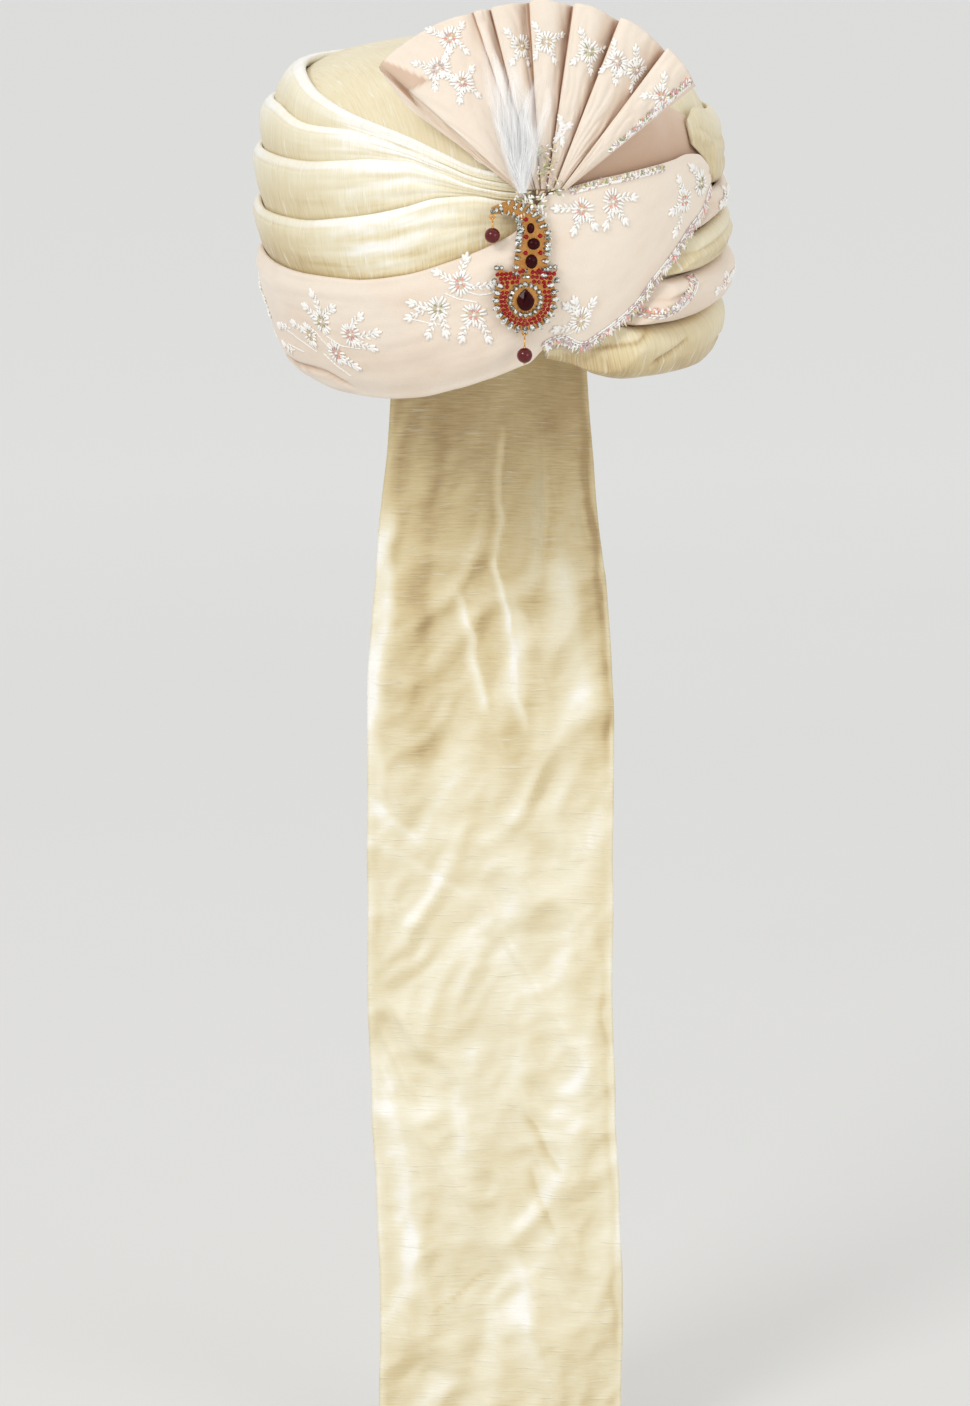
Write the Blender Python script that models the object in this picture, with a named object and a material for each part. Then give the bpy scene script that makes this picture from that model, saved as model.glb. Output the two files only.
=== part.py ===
"""A tied turban: a wound crown with silk folds, an embroidered band, padded rolls, a pleated fan,
a feather plume, a jewelled brooch with two drop beads, and a long silk tail.

Metres, +Z up, the front faces -Y. The origin is the middle of the head opening, level with the rim.
An azimuth is in degrees round the crown: 0 at the front, +90 at +X, 180 at the back.
A share is the climb up the crown: 0 at the rim, 1 at the top. A lift is the height above the crown's skin.
"""

import math

import bmesh
import bpy
from mathutils import Matrix, Vector

# Head opening and the cloth wound round it
HEAD_HALF_WIDTH = 0.079
HEAD_HALF_DEPTH = 0.097
SIDE_WRAP = 0.040
FRONT_WRAP = 0.038
CROWN_HALF_WIDTH = HEAD_HALF_WIDTH + SIDE_WRAP
CROWN_HALF_DEPTH = HEAD_HALF_DEPTH + FRONT_WRAP
CROWN_HEIGHT = 0.168
CROWN_TOP_PADDING = 0.012
WIDEST_HEIGHT = 0.088
WIDEST_SHARE = 0.42
RIM_WIDTH_SHARE = 0.85
RIM_ROUNDING = 2.6
SIDE_SQUARENESS = 3.2
FRONT_SQUARENESS = 2.3
RIM_ARCH_SHARE = 0.062
RIM_ARCH_DEG = 15.0
RIM_ARCH_SPREAD_DEG = 13.0

# Cloth layers, as lifts above the crown's skin
LAYER_GAP = 0.0006
CLOTH = 0.0016
TUCKED = LAYER_GAP + CLOTH
OVER_TUCK = TUCKED + LAYER_GAP
FOLD_LIP = 0.0080
GATHERED_LIP = 0.0046
BACK_LIP = 0.0055
TUCK_SHARE = 0.30
BAND_TUCK_SHARE = 0.15
BAND_STANDOFF = 0.0048
BAND_CLOTH = 0.0024
ROLL_UNDER_BAND = 0.0036
ROLL_TUCK = 0.0075

# Where the pieces start and end round the crown
BACK_SEAM_DEG = 178.0
GATHER_DEG = 9.0
BAND_TIP_DEG = 66.0
COARSE_STEP_DEG = 12.0
FINE_STEP_DEG = 6.0
FINE_FROM_DEG = -12.0
FINE_TO_DEG = 84.0

# Pleated fan
FAN_RADIUS = 0.098
FAN_LEFT_DEG = 147.0
FAN_RIGHT_DEG = 33.0
FAN_BASE_WIDTH = 0.026
FAN_CLOTH = 0.0020
FAN_PLEAT_DEPTH = 0.42
FAN_WIDEST_PLEAT = 0.13
FAN_LEAN_DEG = 12.0
FAN_YAW_DEG = 8.0
FAN_CUPPING_SHARE = 0.1568
FAN_AZIMUTH_DEG = 12.0
FAN_SHARE = 0.466
FAN_LIFT = 0.0062

# Plume
PLUME_LENGTH = 0.092
PLUME_HEAD_RADIUS = 0.0042
PLUME_LOCK_WIDTH = 0.0060
PLUME_LOCK_THICKNESS = 0.0018
PLUME_LOCK_STAGGER = 0.0006
PLUME_FORWARD = 0.0068
PLUME_AZIMUTH_DEG = 7.0

# Brooch
BROOCH_AZIMUTH_DEG = 8.0
BROOCH_SHARE = 0.205
BROOCH_TILT_DEG = 4.0
BROOCH_CLEARANCE = 0.00212
BROOCH_PLATE = 0.0016
BROOCH_RADIUS = 0.0162
STONE_GAP = 0.0003
SCALLOP_RADIUS = 0.00170
RHINESTONE_RADIUS = 0.00125
RHINESTONE_HEIGHT = 0.0014
SCALLOP_STONES = 13
RING_STONES = 11
RING_RADIUS = 0.0080
CRESCENT_STONES = 11
CRESCENT_RADIUS = 0.0114
RED_STONE_RADIUS = 0.001377
PEAR_HALF_WIDTH = 0.004374
PEAR_HALF_HEIGHT = 0.00567
PEAR_GIRDLE = 0.0009
PEAR_HEIGHT = 0.0024
PEAR_TABLE_SHARE = 0.6
PEAR_PINCH = 0.55
DOME_SHARE = 0.75
BEAD_RADIUS = 0.0040
WIRE_RADIUS = 0.00035
EYE_RADIUS = 0.00130
SIDE_DROP_LENGTH = 0.0096
BOTTOM_DROP_LENGTH = 0.0116

# Tail
TAIL_CLOTH = 0.0018
TAIL_LENGTH = 0.640
TAIL_TOP_WIDTH = 0.062
TAIL_RIM_WIDTH = 0.106
TAIL_WIDTH = 0.140
TAIL_TOP_SHARE = 0.86
TAIL_RIPPLE = 0.0035
TAIL_FLARE_LENGTH = 0.230
TAIL_SETTLE_LENGTH = 0.160
TAIL_RIPPLE_LENGTH = 0.100
TAIL_INSET = 0.004
TAIL_LEAST_RADIUS = 0.020
TAIL_WAVES_ACROSS = 5.2
TAIL_WAVES_DOWN = 9.0
TAIL_WAVE_FADE = 0.35
TAIL_TURN_SHARE = 0.28
TAIL_SINK_SHARE = 0.725
TAIL_SINK_SPREAD = 0.06
TAIL_COLUMNS = 8
TAIL_HANG_STEPS = 14
TAIL_ROWS = (0.86, 0.80, 0.75, 0.71, 0.66, 0.60, 0.53, 0.45, 0.36, 0.27, 0.18, 0.09, 0.02)

# Rows of each section, from its foot to its lip, and how its face swells and rounds over
FOLD_ROWS = (0.0, 0.25, 0.60, 0.88, 1.0)
BAND_ROWS = (0.0, 0.16, 0.40, 0.64, 0.80, 0.94, 1.0)
ROLL_ROWS = (0.0, 0.07, 0.28, 0.55, 0.82, 1.0)
FAN_ROWS = (0.0, 0.2, 0.55, 1.0)
SWELL_SHARE = 0.85
SWELL_POWER = 0.85
TUCK_ROW_SHARE = 0.6
LIP_ROUND_SHARE = 0.10
LIP_THINNING = 0.22
BAND_LIP_THINNING = 0.20
BAND_HEM_SHARE = 0.20
BAND_HEM_THINNING = 0.38
BAND_EDGE_THICKNESS = 0.80
BAND_MIDDLE_THICKNESS = 1.25
TOP_WRAP_ABOVE_BAND = 0.004
TOP_WRAP_UNDER_SHARE = 0.12
TOP_WRAP_LIP_SHARE = 0.80
TOP_WRAP_END_LIFT = 0.0003
ROLL_ROUNDNESS = 2.6
ROLL_SLOPE = 1.1

# Upper lips of the silk folds on the left, as shares of the climb, and the band's two edges
LIPS = {
    "azimuth": (-178, -135, -92, -74, -52, -38, -29, -21, -12, -4, 3, 9),
    "silk_fold_1": (0.700, 0.705, 0.700, 0.682, 0.636, 0.604, 0.586, 0.568, 0.539, 0.510, 0.496, 0.488),
    "silk_fold_2": (0.600, 0.610, 0.618, 0.612, 0.580, 0.576, 0.563, 0.544, 0.518, 0.491, 0.479, 0.472),
    "silk_fold_3": (0.490, 0.500, 0.518, 0.512, 0.504, 0.512, 0.519, 0.519, 0.497, 0.472, 0.460, 0.455),
    "silk_fold_4": (0.370, 0.378, 0.392, 0.372, 0.366, 0.381, 0.397, 0.418, 0.444, 0.450, 0.440, 0.436),
}
BAND = {
    "azimuth": (-178, -135, -88, -67, -52, -36, -22, -9, 0, 6, 10, 14, 20, 27, 33, 38, 43, 50, 56, 61, 66),
    "upper": (
        0.240, 0.250, 0.268, 0.245, 0.235, 0.233, 0.250, 0.290, 0.327, 0.362, 0.416,
        0.452, 0.468, 0.482, 0.490, 0.497, 0.503, 0.512, 0.521, 0.518, 0.492,
    ),
    "lower": (
        0.0, 0.0, -0.010, -0.030, -0.045, -0.048, -0.038, -0.012, 0.0, 0.0, 0.0,
        0.030, 0.055, 0.098, 0.135, 0.172, 0.231, 0.292, 0.346, 0.380, 0.440,
    ),
}
TOP_WRAP = {
    "azimuth": (11, 20, 30, 40, 50, 58, 66),
    "upper": (0.500, 0.560, 0.615, 0.645, 0.645, 0.622, 0.590),
}

# The padded rolls on the right: the lift of each one's crest, and its edges as shares of the climb
ROLLS = {
    "silk_roll_upper": {
        "lift": 0.0070,
        "azimuth": (60, 66, 72, 80, 100, 135, 178),
        "lower": (0.540, 0.504, 0.450, 0.446, 0.470, 0.560, 0.600),
        "upper": (0.596, 0.618, 0.618, 0.610, 0.610, 0.670, 0.700),
    },
    "embroidered_roll_upper": {
        "lift": 0.0080,
        "azimuth": (47, 52, 58, 63, 70, 80, 100, 135, 178),
        "lower": (0.305, 0.318, 0.336, 0.346, 0.360, 0.374, 0.400, 0.470, 0.480),
        "upper": (0.318, 0.342, 0.384, 0.412, 0.436, 0.440, 0.464, 0.554, 0.594),
    },
    "silk_roll_middle": {
        "lift": 0.0105,
        "azimuth": (37, 42, 50, 60, 70, 80, 100, 135, 178),
        "lower": (0.222, 0.238, 0.240, 0.244, 0.252, 0.270, 0.300, 0.350, 0.360),
        "upper": (0.240, 0.268, 0.305, 0.332, 0.352, 0.368, 0.394, 0.464, 0.474),
    },
    "embroidered_roll_lower": {
        "lift": 0.0140,
        "azimuth": (23, 30, 40, 51, 65, 80, 100, 135, 178),
        "lower": (0.112, 0.134, 0.128, 0.128, 0.138, 0.160, 0.180, 0.206, 0.210),
        "upper": (0.130, 0.170, 0.226, 0.232, 0.244, 0.264, 0.294, 0.344, 0.354),
    },
    "silk_roll_lower": {
        "lift": 0.0165,
        "azimuth": (15, 22, 30, 40, 51, 65, 80, 100, 135, 178),
        "lower": (0.052, 0.040, 0.014, 0.0, 0.0, 0.0, 0.0, 0.0, 0.0, 0.0),
        "upper": (0.072, 0.104, 0.127, 0.122, 0.122, 0.132, 0.154, 0.174, 0.200, 0.204),
    },
}

# The fan's pleats: where each fold stands across the spread, and how far the cloth reaches there.
# The first, narrow one is a corner that is turned over.
PLEATS = {
    "across": (0.0, 0.05, 0.325, 0.370, 0.474, 0.596, 0.728, 0.877, 1.0),
    "reach": (0.80, 1.06, 0.990, 0.975, 0.975, 0.975, 0.985, 1.000, 1.010),
}
PLEAT_SECTION = {
    "across": (0.0, 0.12, 0.50, 0.80),
    "raise": (0.0, 1.0, 0.85, 0.25),
}

# Plume locks: where each points, in degrees from +X, and its length as a share of the plume's
PLUME_LOCKS = {
    "angle": (106, 100, 95, 90, 84, 77, 70),
    "length": (1.00, 0.74, 0.62, 0.55, 0.60, 0.52, 0.40),
}

# Brooch stem, from the shield up to the curled tip, in shares of the shield's radius
STEM = {
    "across": (0.13, 0.20, 0.24, 0.17, -0.12, -0.58, -1.10),
    "up": (0.72, 1.50, 1.95, 2.38, 2.76, 2.93, 2.83),
    "half_width": (0.52, 0.53, 0.52, 0.44, 0.30, 0.21, 0.11),
}
CABOCHONS = {
    "name": ("cabochon_top", "cabochon_middle", "cabochon_lower"),
    "across": (0.14, 0.24, 0.18),
    "up": (2.28, 1.78, 1.22),
    "half_width": (0.120, 0.200, 0.190),
    "half_height": (0.165, 0.185, 0.225),
}
SMALL_STONES = {
    "nearest": ("top", "middle", "middle", "lower", "lower", "lower", "lower"),
    "across": (-0.02, 0.00, 0.44, -0.02, 0.46, -0.10, 0.42),
    "clear_of_nearest": (0.125, 0.045, 0.075, 0.055, 0.055, -0.065, -0.065),
}

COLOURS = {
    "ivory_silk": ((0.86, 0.80, 0.62), 0.38, 0.0),
    "pink_cloth": ((0.90, 0.80, 0.72), 0.62, 0.0),
    "white_feather": ((0.93, 0.93, 0.91), 0.70, 0.0),
    "gold_metal": ((0.80, 0.56, 0.24), 0.28, 1.0),
    "garnet": ((0.20, 0.01, 0.02), 0.08, 0.0),
    "red_bead": ((0.36, 0.02, 0.03), 0.14, 0.0),
}


def smooth(t):
    t = max(0.0, min(1.0, t))
    return t * t * (3 - 2 * t)


def mix(a, b, t):
    return a + (b - a) * t


def read(table, column, at):
    """A table's column at an azimuth, as a smooth curve through its rows."""
    xs, ys = table["azimuth"], table[column]
    at = max(xs[0], min(xs[-1], at))
    i = max(k for k in range(len(xs) - 1) if xs[k] <= at)
    slope = [(ys[k + 1] - ys[k]) / (xs[k + 1] - xs[k]) for k in range(len(xs) - 1)]

    def tangent(k):
        if k == 0 or k == len(xs) - 1:
            return slope[min(k, len(slope) - 1)]
        if slope[k - 1] * slope[k] <= 0:
            return 0.0
        return 2 * slope[k - 1] * slope[k] / (slope[k - 1] + slope[k])

    width = xs[i + 1] - xs[i]
    t = (at - xs[i]) / width
    return (
        ys[i] * (1 + 2 * t) * (1 - t) ** 2
        + ys[i + 1] * t * t * (3 - 2 * t)
        + tangent(i) * width * t * (1 - t) ** 2
        - tangent(i + 1) * width * t * t * (1 - t)
    )


def azimuths(start, end):
    """Columns from start to end. Every piece shares the ones between, so that facets lie parallel."""
    columns = [start]
    at = math.ceil(start / FINE_STEP_DEG) * FINE_STEP_DEG
    while at < end:
        fine = FINE_FROM_DEG <= at <= FINE_TO_DEG
        if (fine or at % COARSE_STEP_DEG == 0) and min(at - start, end - at) > 1.0:
            columns.append(at)
        at += FINE_STEP_DEG
    return columns + [end]


def skin_point(azimuth, share):
    """The crown's outer skin: an oval plan, a rounded lower wall and a squarish shoulder."""
    a = math.radians(azimuth)
    if share < WIDEST_SHARE:
        q = share / WIDEST_SHARE
        reach = 1 - (1 - RIM_WIDTH_SHARE) * (1 - q) ** RIM_ROUNDING
        height = WIDEST_HEIGHT * share / WIDEST_SHARE
    else:
        front = max(0.0, math.cos(a)) ** 2
        n = mix(SIDE_SQUARENESS, FRONT_SQUARENESS, front)
        turn = (min(share, 1.0) - WIDEST_SHARE) / (1 - WIDEST_SHARE) * math.pi / 2
        rho = (abs(math.cos(turn)) ** n + abs(math.sin(turn)) ** n) ** (-1 / n)
        reach = rho * math.cos(turn)
        height = WIDEST_HEIGHT + (CROWN_HEIGHT - WIDEST_HEIGHT) * rho * math.sin(turn)
    return Vector((
        CROWN_HALF_WIDTH * reach * math.sin(a),
        -CROWN_HALF_DEPTH * reach * math.cos(a),
        height,
    ))


def skin_normal(azimuth, share):
    step = 0.002
    share = min(share, 1 - 2 * step)
    across = skin_point(azimuth + 0.2, share) - skin_point(azimuth - 0.2, share)
    up = skin_point(azimuth, share + step) - skin_point(azimuth, share - step)
    return across.cross(up).normalized()


def lifted(azimuth, share, lift):
    return skin_point(azimuth, share) + skin_normal(azimuth, share) * lift


def rim_arch(azimuth):
    """The rim rises in a low arch over the brow."""
    away = (azimuth - RIM_ARCH_DEG) / RIM_ARCH_SPREAD_DEG
    return RIM_ARCH_SHARE * math.exp(-away * away)


def material(name):
    colour, roughness, metallic = COLOURS[name]
    made = bpy.data.materials.get(name)
    if made is None:
        made = bpy.data.materials.new(name)
        made.use_nodes = True
        shader = made.node_tree.nodes["Principled BSDF"]
        shader.inputs["Base Color"].default_value = (*colour, 1)
        shader.inputs["Roughness"].default_value = roughness
        shader.inputs["Metallic"].default_value = metallic
    return made


def add_object(name, bm, finish, smooth_shading=True):
    bmesh.ops.recalc_face_normals(bm, faces=bm.faces)
    mesh = bpy.data.meshes.new(name)
    bm.to_mesh(mesh)
    bm.free()
    obj = bpy.data.objects.new(name, mesh)
    bpy.context.scene.collection.objects.link(obj)
    mesh.materials.append(material(finish))
    if smooth_shading:
        mesh.shade_smooth()
        mesh.set_sharp_from_angle(angle=math.radians(50))
    return obj


def wall_between(name, outer, inner, finish):
    """A closed sheet between two grids of points with the same columns and rows."""
    bm = bmesh.new()
    sides = [[[bm.verts.new(p) for p in column] for column in grid] for grid in (outer, inner)]
    columns, rows = len(outer), len(outer[0])
    for side in sides:
        for i in range(columns - 1):
            for j in range(rows - 1):
                bm.faces.new((side[i][j], side[i + 1][j], side[i + 1][j + 1], side[i][j + 1]))
    a, b = sides
    for i in range(columns - 1):
        for j in (0, rows - 1):
            bm.faces.new((a[i][j], a[i + 1][j], b[i + 1][j], b[i][j]))
    for j in range(rows - 1):
        for i in (0, columns - 1):
            bm.faces.new((a[i][j], a[i][j + 1], b[i][j + 1], b[i][j]))
    return add_object(name, bm, finish)


def rings_solid(name, rings, finish):
    """A closed solid through rings of points. A ring of one point is a pole."""
    bm = bmesh.new()
    made = [[bm.verts.new(p) for p in ring] for ring in rings]
    for low, high in zip(made, made[1:]):
        n = max(len(low), len(high))
        for k in range(n):
            m = (k + 1) % n
            if len(low) == 1:
                bm.faces.new((low[0], high[m], high[k]))
            elif len(high) == 1:
                bm.faces.new((low[k], low[m], high[0]))
            else:
                bm.faces.new((low[k], low[m], high[m], high[k]))
    return add_object(name, bm, finish)


def union(obj, others):
    """Fuses helper solids into one object."""
    for other in others:
        other.hide_render = True
        other.display_type = "WIRE"
        fuse = obj.modifiers.new("fuse_" + other.name, "BOOLEAN")
        fuse.operation = "UNION"
        fuse.solver = "EXACT"
        fuse.object = other
    return obj


def crown():
    """The wound body: a padded oval dome with a hollow for the head and a rounded rim."""
    turns = azimuths(-180.0, 180.0)[:-1]
    lip_rows = (0.035, 0.10, 0.20, 0.32, 0.44)
    dome_rows = (0.53, 0.60, 0.66, 0.72, 0.79, 0.88)
    outside = [
        [skin_point(a, share + rim_arch(a) * (1 - share / lip_rows[-1])) for a in turns]
        for share in lip_rows
    ]
    outside += [[skin_point(a, share) for a in turns] for share in dome_rows]
    hollow_height = CROWN_HEIGHT - CROWN_TOP_PADDING
    hollow = {
        "up": (0.03, 0.55, 0.76, 0.92),
        "reach": (1.0, 0.98, 0.84, 0.52),
    }

    def hollow_ring(up, reach):
        return [
            Vector((
                HEAD_HALF_WIDTH * reach * math.sin(math.radians(a)),
                -HEAD_HALF_DEPTH * reach * math.cos(math.radians(a)),
                hollow_height * up + WIDEST_HEIGHT / WIDEST_SHARE * rim_arch(a) * (1 - up),
            ))
            for a in turns
        ]

    inside = [hollow_ring(u, r) for u, r in zip(hollow["up"], hollow["reach"])]
    hollow_top, dome_top = Vector((0, 0, hollow_height)), Vector((0, 0, CROWN_HEIGHT))
    return rings_solid("crown", [[hollow_top], *reversed(inside), *outside, [dome_top]], "ivory_silk")


def back_taper(azimuth, full, at_back):
    """Everything thins towards the back seam, where the tail lies over it."""
    return mix(full, at_back, smooth((abs(azimuth) - 128) / 22))


def fold_height(azimuth):
    """The lift of a fold's lip: full on the left, thin where it is gathered at the front."""
    gathered = smooth((azimuth + 40) / 42)
    return mix(back_taper(azimuth, FOLD_LIP, BACK_LIP), GATHERED_LIP, gathered)


def fold_outer(t, lip):
    """A fold's outer lift across its shown width, t from the next fold's lip to its own."""
    bulge = math.sin(math.pi / 2 * min(1.0, t / SWELL_SHARE)) ** SWELL_POWER
    rounding = 1 - LIP_THINNING * smooth(1 + (t - 1) / LIP_ROUND_SHARE)
    return TUCKED + (lip - TUCKED) * bulge * rounding


def fold(name, below, tuck_share, tucked_above, start, end, finish, height=fold_height, own=None):
    """One wrap of cloth, laid like a shingle: its foot is tucked under the lip of the wrap below."""
    outer, inner = [], []
    for azimuth in azimuths(start, end):
        low, under = below(azimuth)
        high = own(azimuth) if own else read(LIPS, name, azimuth)
        tuck = tuck_share * (low - under)
        lip = height(azimuth)
        shares = [low - tuck] + [mix(low, high, t) for t in FOLD_ROWS]
        lifts = [TUCKED] + [fold_outer(t, lip) for t in FOLD_ROWS]
        seats = [LAYER_GAP]
        seats += [OVER_TUCK if tucked_above and t >= TUCK_ROW_SHARE else LAYER_GAP for t in FOLD_ROWS]
        outer.append([lifted(azimuth, s, h) for s, h in zip(shares, lifts)])
        inner.append([lifted(azimuth, s, h) for s, h in zip(shares, seats)])
    return wall_between(name, outer, inner, finish)


def silk_folds():
    names = [n for n in LIPS if n != "azimuth"]
    for k, name in enumerate(names):
        if k + 1 < len(names):
            def below(a, k=k):
                under = read(LIPS, names[k + 2], a) if k + 2 < len(names) else read(BAND, "upper", a)
                return read(LIPS, names[k + 1], a), under
            tuck = TUCK_SHARE
        else:
            def below(a):
                return read(BAND, "upper", a), band_lower(a)
            tuck = BAND_TUCK_SHARE
        fold(name, below, tuck, k > 0, -BACK_SEAM_DEG, GATHER_DEG - 2.0 * k / len(names), "ivory_silk")


def band_lower(azimuth):
    return read(BAND, "lower", azimuth) + rim_arch(azimuth) * (1 - smooth((azimuth - 18) / 8))


def band():
    """The embroidered band: a wide fold on the left that crosses the front and lies over the rolls."""
    outer, inner = [], []
    for azimuth in azimuths(-BACK_SEAM_DEG, BAND_TIP_DEG):
        low, high = band_lower(azimuth), read(BAND, "upper", azimuth)
        over = smooth((azimuth - 2) / 14)
        lip = back_taper(azimuth, FOLD_LIP, BACK_LIP)
        outs, ins = [], []
        for t in BAND_ROWS:
            share = mix(low, high, t)
            hem = 1 - BAND_HEM_THINNING * (1 - smooth(t / BAND_HEM_SHARE))
            edge = 1 - BAND_LIP_THINNING * smooth(1 + (t - 1) / LIP_ROUND_SHARE)
            wrap = lip * hem * edge
            thickness = mix(BAND_EDGE_THICKNESS, BAND_MIDDLE_THICKNESS, math.sin(math.pi * t))
            crossing = BAND_STANDOFF + BAND_CLOTH * thickness
            seat = OVER_TUCK if t >= 0.80 else LAYER_GAP
            outs.append(lifted(azimuth, share, mix(wrap, crossing, over)))
            ins.append(lifted(azimuth, share, mix(seat, BAND_STANDOFF, over)))
        outer.append(outs)
        inner.append(ins)
    return wall_between("embroidered_band", outer, inner, "pink_cloth")


def top_wrap():
    """The pink cloth over the right shoulder, behind the fan."""
    def height(azimuth):
        shown = mix(GATHERED_LIP, TOP_WRAP_LIP_SHARE * FOLD_LIP, smooth((azimuth - 12) / 16))
        return mix(shown, TUCKED + TOP_WRAP_END_LIFT, smooth((azimuth - 44) / 9))

    def below(azimuth):
        high = read(BAND, "upper", azimuth) + TOP_WRAP_ABOVE_BAND
        return high, high - TOP_WRAP_UNDER_SHARE

    return fold(
        "embroidered_top_wrap", below, TUCK_SHARE, False, TOP_WRAP["azimuth"][0], TOP_WRAP["azimuth"][-1],
        "pink_cloth", height, lambda a: read(TOP_WRAP, "upper", a),
    )


def clear_of_band(azimuth, share):
    """How far a roll may lift: low under the band's edge, and rising once it is clear of it."""
    climb = WIDEST_HEIGHT / WIDEST_SHARE
    below = (band_lower(azimuth) - share) * climb
    beyond = math.radians(azimuth - BAND_TIP_DEG) * CROWN_HALF_WIDTH
    above = (share - read(BAND, "upper", azimuth)) * climb
    return ROLL_UNDER_BAND + ROLL_SLOPE * max(0.0, max(below, beyond, above) - ROLL_TUCK)


def roll(name, finish):
    """A padded roll: it comes out from under the band and runs round to the back seam."""
    table = ROLLS[name]
    start, end = table["azimuth"][0], table["azimuth"][-1]
    over_wrap = name == "silk_roll_upper"
    outer, inner = [], []
    for azimuth in azimuths(start, end):
        low, high = read(table, "lower", azimuth), read(table, "upper", azimuth)
        full = back_taper(azimuth, table["lift"], BACK_LIP)
        seat = mix(OVER_TUCK + LAYER_GAP, LAYER_GAP, smooth((azimuth - 68) / 8)) if over_wrap else LAYER_GAP
        ramp = smooth((azimuth - start + 2) / (9 if over_wrap else 22))
        outs, ins = [], []
        for t in ROLL_ROWS:
            share = mix(low, high, t)
            round_over = (1 - abs(2 * t - 1) ** ROLL_ROUNDNESS) ** 0.5
            lift = seat + CLOTH + (full - seat - CLOTH) * round_over * ramp
            limit = max(seat + CLOTH, clear_of_band(azimuth, share))
            outs.append(lifted(azimuth, share, min(lift, limit)))
            ins.append(lifted(azimuth, share, seat))
        outer.append(outs)
        inner.append(ins)
    return wall_between(name, outer, inner, finish)


def fan():
    """The pleated fan: straight pleats from a narrow gather, leaning back and cupped round the crown."""
    foot = lifted(FAN_AZIMUTH_DEG, FAN_SHARE, FAN_LIFT)
    frame = (
        Matrix.Translation(foot)
        @ Matrix.Rotation(math.radians(FAN_YAW_DEG), 4, "Z")
        @ Matrix.Rotation(math.radians(-FAN_LEAN_DEG), 4, "X")
    )
    folds = PLEATS["across"]
    columns = [(1.0, PLEATS["reach"][-1], 0.0, 0.0)]
    for k in range(len(folds) - 2, -1, -1):
        for across, raised in zip(reversed(PLEAT_SECTION["across"]), reversed(PLEAT_SECTION["raise"])):
            u = mix(folds[k], folds[k + 1], across)
            reach = mix(PLEATS["reach"][k], PLEATS["reach"][k + 1], across)
            columns.insert(0, (u, reach, raised, min(folds[k + 1] - folds[k], FAN_WIDEST_PLEAT)))
    spread = math.radians(FAN_LEFT_DEG - FAN_RIGHT_DEG)
    front, back = [], []
    for u, reach, raised, width in columns:
        angle = math.radians(FAN_LEFT_DEG) - spread * u
        base = Vector((mix(-0.5, 0.5, u) * FAN_BASE_WIDTH, 0, 0))
        tip = Vector((math.cos(angle), 0, math.sin(angle))) * FAN_RADIUS * reach
        fronts, backs = [], []
        for v in FAN_ROWS:
            point = base.lerp(tip, v)
            depth = FAN_PLEAT_DEPTH * raised * width * mix(FAN_BASE_WIDTH, FAN_RADIUS * spread, v)
            cup = FAN_CUPPING_SHARE * point.x * point.x / FAN_RADIUS
            fronts.append(frame @ (point + Vector((0, cup - depth - FAN_CLOTH, 0))))
            backs.append(frame @ (point + Vector((0, cup - depth, 0))))
        front.append(fronts)
        back.append(backs)
    return wall_between("pleated_fan", front, back, "pink_cloth")


def plume_lock(index, angle, length, foot):
    """One flattened lock of feather, widest a third of the way up and drawn to a point."""
    direction = Vector((math.cos(angle), 0.10, math.sin(angle)))
    side = Vector((-math.sin(angle), 0, math.cos(angle)))
    forward = Vector((0, -1, 0))
    stations = (0.10, 0.35, 0.70)
    widths = (0.80, 1.0, 0.60)
    rings = [[foot - direction * 0.03 * length]]
    for v, w in zip(stations, widths):
        centre = foot + direction * (length * v) + forward * (PLUME_LOCK_STAGGER * (index % 3))
        ring = []
        for k in range(6):
            turn = 2 * math.pi * k / 6
            ring.append(
                centre
                + side * (PLUME_LOCK_WIDTH * w * math.cos(turn))
                + forward * (PLUME_LOCK_THICKNESS * w * math.sin(turn))
            )
        rings.append(ring)
    rings.append([foot + direction * length])
    return rings_solid(f"plume_lock_{index}", rings, "white_feather")


def plume():
    """The feather plume: locks fused to a small bound head in front of the fan's gather."""
    foot = lifted(PLUME_AZIMUTH_DEG, FAN_SHARE - 0.006, FAN_LIFT + PLUME_FORWARD)
    bm = bmesh.new()
    bmesh.ops.create_uvsphere(bm, u_segments=10, v_segments=6, radius=PLUME_HEAD_RADIUS)
    bmesh.ops.translate(bm, verts=bm.verts, vec=foot)
    head = add_object("feather_plume", bm, "white_feather")
    locks = [
        plume_lock(i, math.radians(angle), PLUME_LENGTH * share, foot)
        for i, (angle, share) in enumerate(zip(PLUME_LOCKS["angle"], PLUME_LOCKS["length"]))
    ]
    return union(head, locks)


def brooch_frame():
    """The brooch's plane: its middle just clear of the band, facing out along the crown's normal."""
    centre = lifted(BROOCH_AZIMUTH_DEG, BROOCH_SHARE, 0)
    normal = skin_normal(BROOCH_AZIMUTH_DEG, BROOCH_SHARE)
    yaw = math.atan2(normal.x, -normal.y)
    away = BAND_STANDOFF + BAND_MIDDLE_THICKNESS * BAND_CLOTH + BROOCH_CLEARANCE
    out = Vector((math.sin(yaw), -math.cos(yaw), 0))
    return (
        Matrix.Translation(centre + out * away)
        @ Matrix.Rotation(yaw, 4, "Z")
        @ Matrix.Rotation(math.radians(90 + BROOCH_TILT_DEG), 4, "X")
    )


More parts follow.
